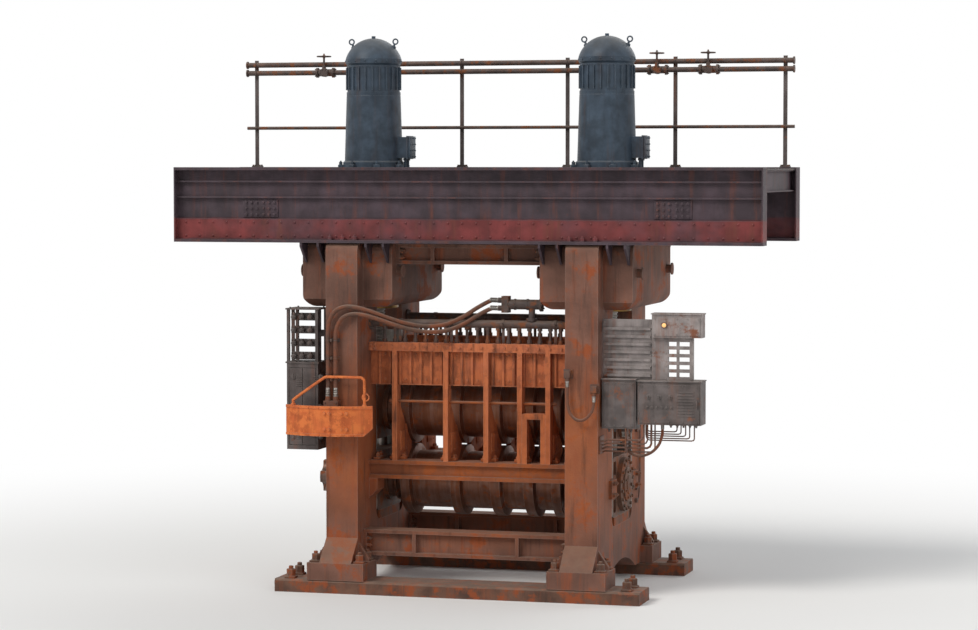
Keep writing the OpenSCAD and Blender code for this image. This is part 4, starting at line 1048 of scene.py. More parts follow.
@dataclass
class Studio:
    """Camera, floor, lamps and white surroundings.

    Attributes:
        eye: Where the camera stands.
        aim: What it looks at.
        focal: Focal length in pixels of a picture 978 wide.
        picture: Width of the picture in pixels.
        sensor: Width of the sensor in millimetres.
        floor_reach: Radius of the floor.
        shadow_reach: Radius round the stand in which the floor takes light and shadow.
    """

    eye: Point = (11.063, -39.676, 5.945)
    aim: Point = (0.0, 0.0, 3.8)
    focal: float = 2900.0
    picture: float = 978.0
    sensor: float = 36.0
    floor_reach: float = 160.0
    shadow_reach: float = 9.0

    def camera(self) -> None:
        """Places the camera at the photograph's viewing angle, with a longer lens."""
        data = bpy.data.cameras.new("camera")
        data.sensor_width = self.sensor
        data.lens = self.focal * self.sensor / self.picture
        data.clip_end = 500.0
        made = bpy.data.objects.new("camera", data)
        made.location = self.eye
        made.rotation_euler = (Vector(self.aim) - Vector(self.eye)).to_track_quat("-Z", "Y").to_euler()
        bpy.context.scene.collection.objects.link(made)
        bpy.context.scene.camera = made

    def _floor_material(self) -> bpy.types.Material:
        """Gives a pale floor that turns to plain white away from the stand."""
        made, graph = new_material("studio_floor")
        place = graph.node("TexCoord").outputs["Object"]
        far = graph.node("VectorMath", {0: place}, operation="LENGTH").outputs["Value"]
        share = graph.span(far, self.shadow_reach * 0.55, self.shadow_reach * 2.0)
        seen = graph.node("LightPath").outputs["Is Camera Ray"]
        matt = graph.node("BsdfDiffuse", {"Color": (0.83, 0.82, 0.8, 1.0)})
        white = graph.node("Emission", {"Color": (1.0, 1.0, 1.0, 1.0), "Strength": 1.0})
        mixed = graph.node("MixShader", {0: graph.times(share, seen), 1: matt.outputs[0], 2: white.outputs[0]})
        graph.node("OutputMaterial", {"Surface": mixed.outputs[0]})
        return made

    def floor(self) -> None:
        """Lays the floor that the stand rests on."""
        bm = bmesh.new()
        bmesh.ops.create_circle(bm, cap_ends=True, segments=64, radius=self.floor_reach)
        mesh = mesh_of(bm, "studio_floor")
        mesh.materials.append(self._floor_material())
        made = bpy.data.objects.new("studio_floor", mesh)
        bpy.context.scene.collection.objects.link(made)

    def _lamp(self, name: str, direction: Point, strength: float, spread: float, tint: Colour) -> None:
        """Adds a soft lamp that shines from a direction."""
        data = bpy.data.lights.new(name, "SUN")
        data.energy = strength
        data.angle = math.radians(spread)
        data.color = tint
        made = bpy.data.objects.new(name, data)
        made.rotation_euler = Vector(direction).to_track_quat("Z", "Y").to_euler()
        bpy.context.scene.collection.objects.link(made)

    def light(self) -> None:
        """Sets soft lamps and surroundings that look white."""
        self._lamp("key_lamp", (-0.55, -0.75, 0.85), 1.75, 24, (1.0, 0.98, 0.95))
        self._lamp("fill_lamp", (0.95, -0.55, 0.45), 0.55, 60, (0.95, 0.98, 1.0))
        self._lamp("rear_lamp", (0.2, 0.9, 0.6), 0.8, 50, (1.0, 1.0, 1.0))
        world = bpy.data.worlds.new("studio")
        world.use_nodes = True
        world.node_tree.nodes.clear()
        graph = Graph(world.node_tree)
        path = graph.node("LightPath").outputs
        plain = graph.maths("MAXIMUM", path["Is Glossy Ray"], path["Is Transmission Ray"])
        plain = graph.maths("MAXIMUM", plain, path["Is Camera Ray"])
        soft = graph.node("Background", {"Color": (0.93, 0.96, 1.0, 1.0), "Strength": 0.45})
        white = graph.node("Background", {"Color": (1.0, 1.0, 1.0, 1.0), "Strength": 1.0})
        mixed = graph.node("MixShader", {0: plain, 1: soft.outputs[0], 2: white.outputs[0]})
        graph.node("OutputWorld", {"Surface": mixed.outputs[0]})
        bpy.context.scene.world = world
        bpy.context.scene.view_settings.view_transform = "Standard"


# Hoses


@dataclass
class Hose:
    """A hose that hangs between two fittings, with a ribbed coupling on each end.

    Attributes:
        name: Name of the node that it stands for.
        start: Where it leaves its first fitting.
        route: Points of its centre line, counted from the start.
        diameter: Outer diameter.
        steps: Steps of the smooth curve between two points.
        sides: Number of sides.
        coupling: Length of a coupling.
    """

    name: str
    start: Point
    route: Sequence[Point]
    diameter: float
    steps: int = 7
    sides: int = 16
    coupling: float = 0.12

    def line(self) -> list[Vector]:
        """Gives the points of the smooth centre line."""
        p = [Vector(q) for q in self.route]
        p = [2 * p[0] - p[1], *p, 2 * p[-1] - p[-2]]
        made = []
        for a, b, c, d in zip(p, p[1:], p[2:], p[3:]):
            for k in range(self.steps):
                t = k / self.steps
                made.append(0.5 * (2 * b + t * (c - a) + t * t * (2 * a - 5 * b + 4 * c - d)
                                   + t * t * t * (3 * b - a - 3 * c + d)))
        return [Vector(self.start) + q for q in [*made, p[-2]]]

    def _coupling(self, work: Work, at: Vector, way: Vector) -> None:
        """Adds a swaged sleeve with three ribs and a hexagon at its mouth."""
        r = self.diameter / 2
        ribs = [(r + 0.001, self.coupling)]
        for k in (3, 2, 1):
            foot = self.coupling * k / 4
            ribs += [(r + 0.003, foot + 0.012), (r + 0.006, foot + 0.006), (r + 0.003, foot)]
        work.turned([*ribs, (r + 0.003, 0.0), (r, 0.0)], at, way, steps=20)
        work.turned([(r, 0.018), (r + 0.009, 0.016), (r + 0.009, 0.002), (r, 0.0)], at, way, steps=6)

    def build(self) -> None:
        line = self.line()
        work = Work().tube(line, self.diameter / 2, self.sides, uv=True)
        piece = work.end(f"{self.name}_woven", "hose_rubber", smooth=60)
        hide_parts(self.name)
        ends = Work()
        self._coupling(ends, line[0], line[1] - line[0])
        self._coupling(ends, line[-1], line[-2] - line[-1])
        sleeves = ends.end(f"{self.name}_couplings", "bright_steel")


SUPPLY_ROUTE = [
    (0, 0, 0), (0, 0, 0.2), (0, 0, 0.45), (0, 0, 0.7), (0, 0, 0.9), (0.025, 0, 1.06), (0.11, 0, 1.19),
    (0.26, 0, 1.25), (0.45, 0, 1.235), (0.65, 0.06, 1.17), (0.86, 0.15, 1.085), (1.09, 0.26, 1.01),
    (1.33, 0.37, 0.975), (1.56, 0.48, 1.0), (1.78, 0.58, 1.1), (1.96, 0.65, 1.22), (2.11, 0.68, 1.305),
    (2.19, 0.68, 1.335), (2.27, 0.68, 1.335),
]
POST_ROUTE = [
    (0, 0, 0), (0, 0, -0.12), (0.005, -0.01, -0.28), (0.045, -0.03, -0.43), (0.14, -0.045, -0.52),
    (0.25, -0.04, -0.515), (0.34, -0.02, -0.42), (0.37, 0, -0.3), (0.37, 0, -0.2),
]
RACK_ROUTE = [
    (0, 0, 0), (0, 0, -0.08), (0.025, -0.015, -0.19), (0.11, -0.035, -0.285), (0.25, -0.045, -0.32),
    (0.39, -0.04, -0.275), (0.495, -0.025, -0.17), (0.54, -0.01, -0.04), (0.545, 0, 0.04), (0.545, 0, 0.12),
]


@dataclass
class HoseSet:
    """The four hoses of the stand.

    Attributes:
        block: Mouth of the lower fitting of the upper supply hose.
        gap: Distance between the two supply hoses.
        branch: Mouth of the branch pipe for the upper supply hose.
        loop: Start of the post hose.
        rack: Start of the rack hose.
    """

    block: Point = (-1.89, -1.55, 2.72)
    gap: float = 0.11
    branch: Point = (0.38, -0.87, 4.055)
    loop: Point = (1.535, -1.55, 3.0)
    rack: Point = (2.245, -1.23, 2.3)

    def build(self) -> None:
        """Builds the four hoses."""
        last = SUPPLY_ROUTE[-1]
        for i, name in enumerate(("supply_hose_upper", "supply_hose_lower")):
            start = Vector(self.block) + Vector((i * self.gap, 0, 0))
            goal = Vector(self.branch) - Vector((0, 0, i * self.gap)) - start
            route = [[q[k] * goal[k] / last[k] for k in range(3)] for q in SUPPLY_ROUTE]
            Hose(name, start, route, 0.06).build()
        Hose("post_hose", self.loop, POST_ROUTE, 0.04, coupling=0.08).build()
        Hose("rack_hose", self.rack, RACK_ROUTE, 0.04, coupling=0.07).build()


# Foundation and housings


@dataclass
class Foundation:
    """Foundation bolts of the sole plates and the bolts of the feet.

    Attributes:
        stud: Width of the foundation nuts.
        foot_nut: Width of the nuts on the feet.
        washer: Half width of the square washers.
        end: Distance of the foundation bolts from the plate's ends.
        pair: Distance between the two bolts of a pair.
        reach: Distance of the foot bolts from the housing's middle.
    """

    stud: float = 0.115
    foot_nut: float = 0.1
    washer: float = 0.074
    end: float = 0.2
    pair: float = 0.36
    reach: float = 0.32

    def _held(self, work: Work, points: Sequence[Point], size: float) -> None:
        """Adds a square washer and a nut with its stud at each point."""
        for x, y, z in points:
            work.block((x - self.washer, y - self.washer, z), (x + self.washer, y + self.washer, z + 0.025), 0.005)
        Fastener.NUT.add(work, [(x, y, z + 0.025) for x, y, z in points], UP, size)

    def build(self) -> None:
        """Builds the foundation bolts and the foot bolts."""
        studs, feet = Work(), Work()
        for face in FACES:
            low, high = corners(f"sole_plate_{face}")
            rows = [(low.y + high.y - self.pair) / 2, (low.y + high.y + self.pair) / 2]
            self._held(studs, [(x, y, high.z) for x in (low.x + self.end, high.x - self.end) for y in rows], self.stud)
            for side in SIDES:
                x = middle(f"pressure_screw_{side}").x
                places = [(x + m * self.reach, y, high.z + 0.24) for m in (-1, 1) for y in rows]
                self._held(feet, places, self.foot_nut)
        studs.end("foundation_nuts", "weathered_steel")
        feet.end("foot_nuts", "weathered_steel")


@dataclass
class ScaleLitter:
    """Flakes of mill scale that lie on the lower parts.

    Attributes:
        nodes: Nodes whose top faces take flakes, with the number on each.
        seed: Seed of their places.
    """

    nodes: dict[str, int] = field(default_factory=lambda: {
        "sole_plate_front": 110, "sole_plate_rear": 90, "rest_bar_front": 60, "rest_bar_rear": 40,
    })
    seed: int = 7

    def _flake(self, name: str) -> bpy.types.Mesh:
        """Gives one flat, uneven flake."""
        bm = bmesh.new()
        bmesh.ops.create_icosphere(bm, subdivisions=1, radius=1.0)
        draw = random.Random(self.seed)
        for vert in bm.verts:
            vert.co *= draw.uniform(0.65, 1.15)
        bmesh.ops.scale(bm, vec=(1.0, 0.7, 0.22), verts=bm.verts)
        return mesh_of(bm, name)

    def build(self) -> None:
        """Scatters the flakes, each node's own number of them."""
        flake = self._flake("pattern_flake")
        draw = random.Random(self.seed)
        work = Work()
        for node, count in self.nodes.items():
            low, high = corners(node)
            places = []
            for _ in range(count):
                size = draw.uniform(0.006, 0.02)
                at = (draw.uniform(low.x + 0.1, high.x - 0.1), draw.uniform(low.y + 0.05, high.y - 0.05), high.z)
                turn = Matrix.Rotation(draw.uniform(0, math.tau), 4, "Z")
                places.append(Matrix.Translation(at) @ turn @ Matrix.Scale(size, 4))
            work.stamp(flake, places)
        work.end("scale_flakes", "weathered_steel")


@dataclass
class Housings:
    """Bolts, keepers' nuts and lubrication pipes of the two housings.

    Attributes:
        tie: Width of the nuts on the separators.
        keeper_bolt: Width of the nuts on the keeper plates.
        keeper_z: Half distance between a keeper plate's nuts.
        pipe: Radius of the lubrication pipes.
        pipe_gap: Distance between two neighbouring pipes.
        pipe_y: Distance of the first pipe from the centre plane.
        pipe_top: Height of the pipes' upper ends.
        goals: Heights at which the pipes turn to the window.
        clips: Heights of the clips.
    """

    tie: float = 0.055
    keeper_bolt: float = 0.05
    keeper_z: float = 0.08
    pipe: float = 0.011
    pipe_gap: float = 0.045
    pipe_y: float = 0.98
    pipe_top: float = 3.7
    goals: Sequence[float] = (1.12, 1.3, 2.14)
    clips: Sequence[float] = (2.35, 2.8, 3.25, 3.62)

    def _separator_nuts(self, work: Work, low: Vector, high: Vector) -> None:
        """Adds four nuts inside each end plate of one separator."""
        plate, mid_y, mid_z = 0.05, (low.y + high.y) / 2, (low.z + high.z) / 2
        for way, x in ((1, low.x + plate), (-1, high.x - plate)):
            points = [(x, mid_y + dy, mid_z + dz) for dy in (-0.12, 0.12) for dz in (-0.05, 0.05)]
            Fastener.NUT.add(work, points, (way, 0, 0), self.tie)

    def _keeper_nuts(self, work: Work) -> None:
        """Adds four nuts on each keeper plate, outside the window."""
        low, high = corners("chock_keepers")
        for way, x in ((-1, low.x), (1, high.x)):
            for roll in ("bottom_roll", "top_roll"):
                z = middle(roll).z
                points = [(x, m * y, z + n * self.keeper_z) for m in (-1, 1) for y in (0.67, 0.755) for n in (-1, 1)]
                Fastener.NUT.add(work, points, (way, 0, 0), self.keeper_bolt)

    def _grease_pipes(self, side: str) -> None:
        """Adds three pipes that run down a post's outer face to the chocks, held by clips."""
        s = SIDES[side]
        face = middle(f"pressure_screw_{side}").x + s * 0.23
        work, clips = Work(), Work()
        x = face + s * 0.03
        for i, goal in enumerate(self.goals):
            y = self.pipe_y + i * self.pipe_gap
            line = [(x, y, self.pipe_top), (x, y, goal + 0.12), (x, y - 0.05, goal + 0.02), (x, y - 0.14, goal),
                    (x, 0.84, goal)]
            work.tube(line, self.pipe, 8)
            Fastener.SOCKET.add(work, [(x - s * 0.03, 0.84, goal)], (s, 0, 0), 0.07)
        first, last = 0.945, self.pipe_y + 2 * self.pipe_gap + 0.035
        for z in self.clips:
            clips.block((face, first, z), (face + s * 0.014, last, z + 0.03), 0.002)
            clips.block((x, first, z), (x + s * 0.016, last, z + 0.03), 0.002)
            Fastener.BOLT.add(clips, [(x + s * 0.016, self.pipe_y + self.pipe_gap / 2, z + 0.015)], (s, 0, 0), 0.02)
        work.end(f"grease_pipes_{side}", "pipe_steel")
        clips.end(f"grease_pipe_clips_{side}", "pipe_steel")

    def build(self) -> None:
        """Builds the housings' small pieces."""
        nuts = Work()
        for face in FACES:
            self._separator_nuts(nuts, *corners(f"top_separator_{face}"))
        low, high = corners("bottom_separators")
        self._separator_nuts(nuts, low, Vector((high.x, low.y + 0.32, high.z)))
        self._separator_nuts(nuts, Vector((low.x, high.y - 0.32, low.z)), high)
        self._keeper_nuts(nuts)
        nuts.end("housing_nuts", "weathered_steel")
        for side in SIDES:
            self._grease_pipes(side)


# Rolls, chocks and screws


@dataclass
class ChockCovers:
    """Bolts, centre caps and lifting eyes of the four chocks.

    Attributes:
        ring: Radius of the bolt circle.
        bolts: Number of bolts on a cover.
        bolt: Width of a bolt.
        cap: Radius of a centre cap.
    """

    ring: float = 0.345
    bolts: int = 16
    bolt: float = 0.042
    cap: float = 0.24

    def _centre_cap(self, work: Work, at: Vector) -> None:
        """Adds the bolted cap in the middle of a closed cover."""
        r = self.cap
        work.turned([(r, 0), (r, 0.022), (r - 0.008, 0.03), (0.15, 0.03), (0.135, 0.05), (0.05, 0.056), (0, 0.056)],
                    at, X_AXIS, 40)
        Fastener.BOLT.add(work, around(at + 0.03 * X_AXIS, X_AXIS, r - 0.045, 8, 22.5), X_AXIS, 0.03)
        Fastener.SOCKET.add(work, [at + 0.056 * X_AXIS], X_AXIS, 0.05)

    def _eyes(self, work: Work, at: Vector) -> None:
        """Adds two lifting eyes on the top of a chock."""
        for y in (-0.42, 0.42):
            work.turned([(0.045, 0), (0.045, 0.015), (0.02, 0.03), (0.02, 0.05), (0, 0.05)], (at.x, y, at.z), UP, 16)
            work.hoop((at.x, y, at.z + 0.085), Y_AXIS, 0.04, 0.013, 8, 24)

    def build(self) -> None:
        """Builds the dress of each chock on the body that carries it."""
        for level, body in (("bottom", STAND), ("top", TOP_SET)):
            for side, s in SIDES.items():
                low, high = corners(f"{level}_chock_{side}")
                work = Work()
                at = Vector((high.x if s > 0 else low.x, 0, middle(f"{level}_roll").z))
                Fastener.BOLT.add(work, around(at, X_AXIS, self.ring, self.bolts, 11.25), s * X_AXIS, self.bolt)
                if s > 0:
                    self._centre_cap(work, at)
                if level == "top":
                    self._eyes(work, Vector((middle(f"pressure_screw_{side}").x, 0, high.z)))
                work.end(f"{level}_chock_bolts_{side}", "chock_steel", body)


@dataclass
class ScrewThread:
    """A pressure screw with its pad and its saw-tooth thread.

    Attributes:
        side: The housing that it stands in.
        pad: Radius of the pad.
        pad_h: Height of the pad.
        radius: Radius over the thread.
        depth: Depth of the thread.
        pitch: Rise of a turn.
        thread_h: Length of the thread above the pad.
        steps: Steps in a turn.
    """

    side: str
    pad: float = 0.23
    pad_h: float = 0.13
    radius: float = 0.16
    depth: float = 0.013
    pitch: float = 0.048
    thread_h: float = 0.95
    steps: int = 24

    def _thread(self, work: Work, at: Vector) -> None:
        """Adds the helix, a closed ridge round the core."""
        core, crest = self.radius - self.depth - 0.002, self.radius
        section = [(r, h * self.pitch) for r, h in ((core, 0.0), (crest, 0.3), (crest, 0.55), (core, 0.75))]
        work.helix(section, at, self.pitch, int((self.thread_h - self.pitch) / self.pitch), self.steps)

    def build(self) -> None:
        """Builds the screw in place of its plain node."""
        node = f"pressure_screw_{self.side}"
        low, high = corners(node)
        at = Vector((middle(node).x, 0, low.z))
        tall, r, core = high.z - low.z, self.radius, self.radius - self.depth
        work = Work().turned([
            (0, 0), (self.pad, 0), (self.pad, self.pad_h - 0.025), (self.pad - 0.025, self.pad_h), (core, self.pad_h),
            (core, self.pad_h + self.thread_h), (r, self.pad_h + self.thread_h + 0.01), (r, tall - 0.025),
            (r - 0.025, tall), (0, tall),
        ], at, UP, 48)
        self._thread(work, at + Vector((0, 0, self.pad_h + 0.01)))
        Fastener.BOLT.add(work, around(at + self.pad_h * UP, UP, self.pad - 0.045, 8), UP, 0.03)
        piece = work.end(f"threaded_screw_{self.side}", "bright_steel", TOP_SET)
        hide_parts(node)


@dataclass
class ScrewdownDrive:
    """Bolts and fittings of the gear cases, the cross shaft and the motors.

    Attributes:
        flange_ring: Radius of the gear cases' base bolts.
        lid_ring: Radius of their lid bolts.
        foot_ring: Radius of the motors' foot bolts.
        box_low: Lowest corner of a terminal box, from the motor's middle at the deck.
        box_high: Its highest corner.
        rim: Height of the motors' upper rim above the deck.
    """

    flange_ring: float = 0.583
    lid_ring: float = 0.46
    foot_ring: float = 0.462
    box_low: Point = (0.38, -0.13, 0.13)
    box_high: Point = (0.57, 0.13, 0.43)
    rim: float = 1.54

    def _gear_case(self, side: str) -> None:
        """Adds the bolts of one gear case and its breather."""
        at = Vector((middle(f"pressure_screw_{side}").x, 0, corners(f"screwdown_case_{side}")[0].z))
        worm = middle("cross_shaft")
        work = Work()
        Fastener.BOLT.add(work, around(at + 0.068 * UP, UP, self.flange_ring, 24, 7.5), UP, 0.042)
        Fastener.BOLT.add(work, around(at + 0.7 * UP, UP, self.lid_ring, 16), UP, 0.036)
        for way in (-1, 1):
            end = Vector((at.x + way * 0.48, worm.y, worm.z))
            Fastener.BOLT.add(work, around(end, X_AXIS, 0.226, 12), way * X_AXIS, 0.02)
            Fastener.BOLT.add(work, around(end + way * 0.01 * X_AXIS, X_AXIS, 0.175, 8), way * X_AXIS, 0.03)
        work.turned([(0.02, 0), (0.02, 0.05), (0.035, 0.055), (0.035, 0.085), (0.02, 0.095), (0, 0.095)],
                    at + Vector((0.382, 0.256, 0.7)), UP, 14)
        work.end(f"gear_case_bolts_{side}", "machine_paint")

    def _terminal_box(self, work: Work, at: Vector) -> None:
        """Adds the lid, its screws and the conduit of a terminal box."""
        low, high = at + Vector(self.box_low), at + Vector(self.box_high)
        work.block((high.x - 0.002, low.y - 0.008, low.z - 0.008), (high.x + 0.016, high.y + 0.008, high.z + 0.008),
                   0.005)
        screws = [(high.x + 0.016, y, z) for y in spaced(low.y + 0.02, high.y - 0.02, 3)
                  for z in spaced(low.z + 0.02, high.z - 0.02, 4)]
        Fastener.SOCKET.add(work, screws, X_AXIS, 0.02)
        for dy in (-0.06, 0.05):
            top = Vector(((low.x + high.x) / 2 + 0.02, dy, low.z))
            work.turned([(0.022, 0), (0.036, 0), (0.036, 0.03), (0.027, 0.036)], top - 0.036 * UP, UP, 6)
            work.bar(top - 0.036 * UP, Vector((top.x, dy, at.z - 0.02)), 0.022, 14)

    def _motor(self, side: str) -> None:
        """Adds foot clamps, lifting eyes, a seam band and the terminal box's fittings."""
        mid = Vector((middle(f"pressure_screw_{side}").x, 0, corners("deck_girder_front")[1].z))
        work = Work()
        for p, way in zip(around(mid, UP, self.foot_ring, 8, 22.5), around((0, 0, 0), UP, 1.0, 8, 22.5)):
            place = Matrix.Translation(p) @ Matrix.Rotation(math.atan2(way.y, way.x), 4, "Z")
            work.block((-0.05, -0.045, -0.03), (0.05, 0.045, 0.035), 0.006, place=place)
            Fastener.NUT.add(work, [p + 0.035 * UP + 0.012 * way], UP, 0.045)
        for z, r, wide in ((1.02, 0.382, 0.05), (1.424, 0.379, 0.022)):
            work.turned([(r - 0.01, z), (r + 0.004, z), (r + 0.004, z + wide), (r - 0.01, z + wide)], mid, UP, 64)
        for p in around(mid + (self.rim - 0.03) * UP, UP, 0.4, 16):
            Fastener.RIVET.add(work, [p], Vector((p.x - mid.x, p.y, 0)), 0.03)
        for way in (-1, 1):
            at = mid + Vector((way * 0.3, 0, self.rim + 0.17))
            stem = [(0.035, -0.02), (0.035, 0.012), (0.016, 0.025), (0.016, 0.05), (0, 0.05)]
            work.turned(stem, at, (way * 0.35, 0, 1), 14)
            work.hoop(at + Vector((way * 0.028, 0, 0.08)), Y_AXIS, 0.036, 0.011, 8, 20)
        self._terminal_box(work, mid)
        work.end(f"motor_fittings_{side}", "motor_paint")

    def _couplings(self) -> None:
        """Adds the bolts of the cross shaft's coupling."""
        at = middle("cross_shaft")
        work = Work()
        for way in (-1, 1):
            face = at + way * 0.17 * X_AXIS
            Fastener.BOLT.add(work, around(face, X_AXIS, 0.15, 8), way * X_AXIS, 0.034)
        work.end("coupling_bolts", "bright_steel")

    def build(self) -> None:
        """Builds the drive's small pieces."""
        for side in SIDES:
            ScrewThread(side).build()
            self._gear_case(side)
            self._motor(side)
        self._couplings()


# Guides and water


@dataclass
class GuideGear:
    """Bolts, wear strips and tie rods of the guides and rest bars.

    Attributes:
        collars: Places of the guide plates along the rolls, from the left.
        plate: Half thickness of a guide plate.
        strip: Thickness of a wear strip.
        rod: Radius of a tie rod.
        rod_places: Distance from the centre plane and height of each tie rod.
        beam_h: Height of a guide beam.
        apron_h: Height of the apron that hangs from a guide beam.
        apron_y: Distance of the apron's inner face from the centre plane.
        apron_t: Thickness of the apron.
        rib: Depth and width of the apron's ribs.
        rib_pitch: Spacing of the ribs, which is that of the droppers.
    """

    collars: Sequence[float] = (-1.1096, -0.3648, 0.22, 0.7048, 1.1096)
    plate: float = 0.035
    strip: float = 0.014
    rod: float = 0.02
    rod_places: Sequence[tuple[float, float]] = ((0.87, 2.62),)
    beam_h: float = 0.119
    apron_h: float = 0.48
    apron_y: float = 0.838
    apron_t: float = 0.016
    rib: float = 0.034
    rib_pitch: float = 0.15

    def _plate_dress(self, work: Work, x: float, s: int, rest: float) -> None:
        """Adds foot clamps and wear strips on both sides of one guide plate."""
        for m in (-1, 1):
            inner = x + m * self.plate
            outer = inner + m * self.strip
            work.block((inner, s * 0.5, rest + 0.12), (outer, s * 0.82, rest + 0.4), 0.004)
            rivets = [(outer, s * y, rest + z) for y in spaced(0.54, 0.78, 3) for z in (0.155, 0.365)]
            Fastener.RIVET.add(work, rivets, (m, 0, 0), 0.024)
            edge = inner + m * 0.075
            work.block((inner, s * 0.68, rest), (edge, s * 0.83, rest + 0.045), 0.006)
            Fastener.NUT.add(work, [(inner + m * 0.042, s * y, rest + 0.045) for y in (0.72, 0.79)], UP, 0.034)

    def _beam_dress(self, work: Work, face: str) -> None:
        """Adds the bolts along a guide beam and its end brackets."""
        s = FACES[face]
        low, high = corners(f"guides_{face}")
        y = low.y if s < 0 else high.y
        points = [(x, y, high.z - 0.06) for x in spaced(low.x + 0.18, high.x - 0.18, 17)]
        Fastener.BOLT.add(work, points, (0, s, 0), 0.032)
        for end, m in ((low.x, 1), (high.x, -1)):
            x0, x1 = sorted((end, end + m * 0.11))
            work.block((x0, y, high.z - 0.12), (x1, y + s * 0.014, high.z), 0.004)
            ends = [(x0 + dx, y + s * 0.014, high.z + dz) for dx in (0.028, 0.082) for dz in (-0.09, -0.03)]
            Fastener.BOLT.add(work, ends, (0, s, 0), 0.026)

    def _apron(self, face: str) -> None:
        """Hangs the ribbed apron from a guide beam, with a folded lower lip and clamp bolts."""
        s = FACES[face]
        low, high = corners(f"guides_{face}")
        top = high.z - self.beam_h
        foot = top - self.apron_h
        face_y = self.apron_y + self.apron_t
        work = Work()
        work.block((low.x, s * self.apron_y, foot), (high.x, s * face_y, top), 0.003)
        work.block((low.x, s * self.apron_y, foot), (high.x, s * (face_y + self.rib), foot + 0.012), 0.003)
        ribs = [i * self.rib_pitch for i in range(-9, 10)]
        for x in ribs:
            work.block((x - self.rib / 2, s * (face_y - 0.002), foot + 0.012),
                       (x + self.rib / 2, s * (face_y + self.rib), top), 0.005)
        bolts = [(x + self.rib_pitch / 2, s * face_y, top - dz) for x in ribs[:-1] for dz in (0.05, 0.4)]
        Fastener.BOLT.add(work, bolts, (0, s, 0), 0.024)
        work.end(f"guide_apron_{face}", "hot_side_steel")

    def build(self) -> None:
        """Builds the guides' small pieces at the front and the rear."""
        for face, s in FACES.items():
            rest = corners(f"rest_bar_{face}")[1].z
            work = Work()
            for x in self.collars:
                self._plate_dress(work, x, s, rest)
            self._beam_dress(work, face)
            work.end(f"guide_strips_{face}", "hot_side_steel")
            rods = Work()
            reach = self.collars[-1] + self.plate + 0.05
            for y, z in self.rod_places:
                rods.bar((-reach, s * y, z), (reach, s * y, z), self.rod, 12)
                for way in (-1, 1):
                    nut = [(way * (self.collars[-1] + self.plate), s * y, z)]
                    Fastener.NUT.add(rods, nut, (way, 0, 0), 0.055)
            rods.end(f"guide_tie_rods_{face}", "weathered_steel")
            self._apron(face)
            ends = Work()
            low, high = corners(f"rest_bar_{face}")
            for m in (-1, 1):
                x = m * (high.x - 0.1)
                ends.block((x - 0.05, low.y + 0.04, high.z), (x + 0.05, high.y - 0.04, high.z + 0.035), 0.008)
                Fastener.NUT.add(ends, [(x, low.y + dy, high.z + 0.035) for dy in (0.09, 0.23)], UP, 0.055)
            ends.end(f"rest_bar_clamps_{face}", "weathered_steel")


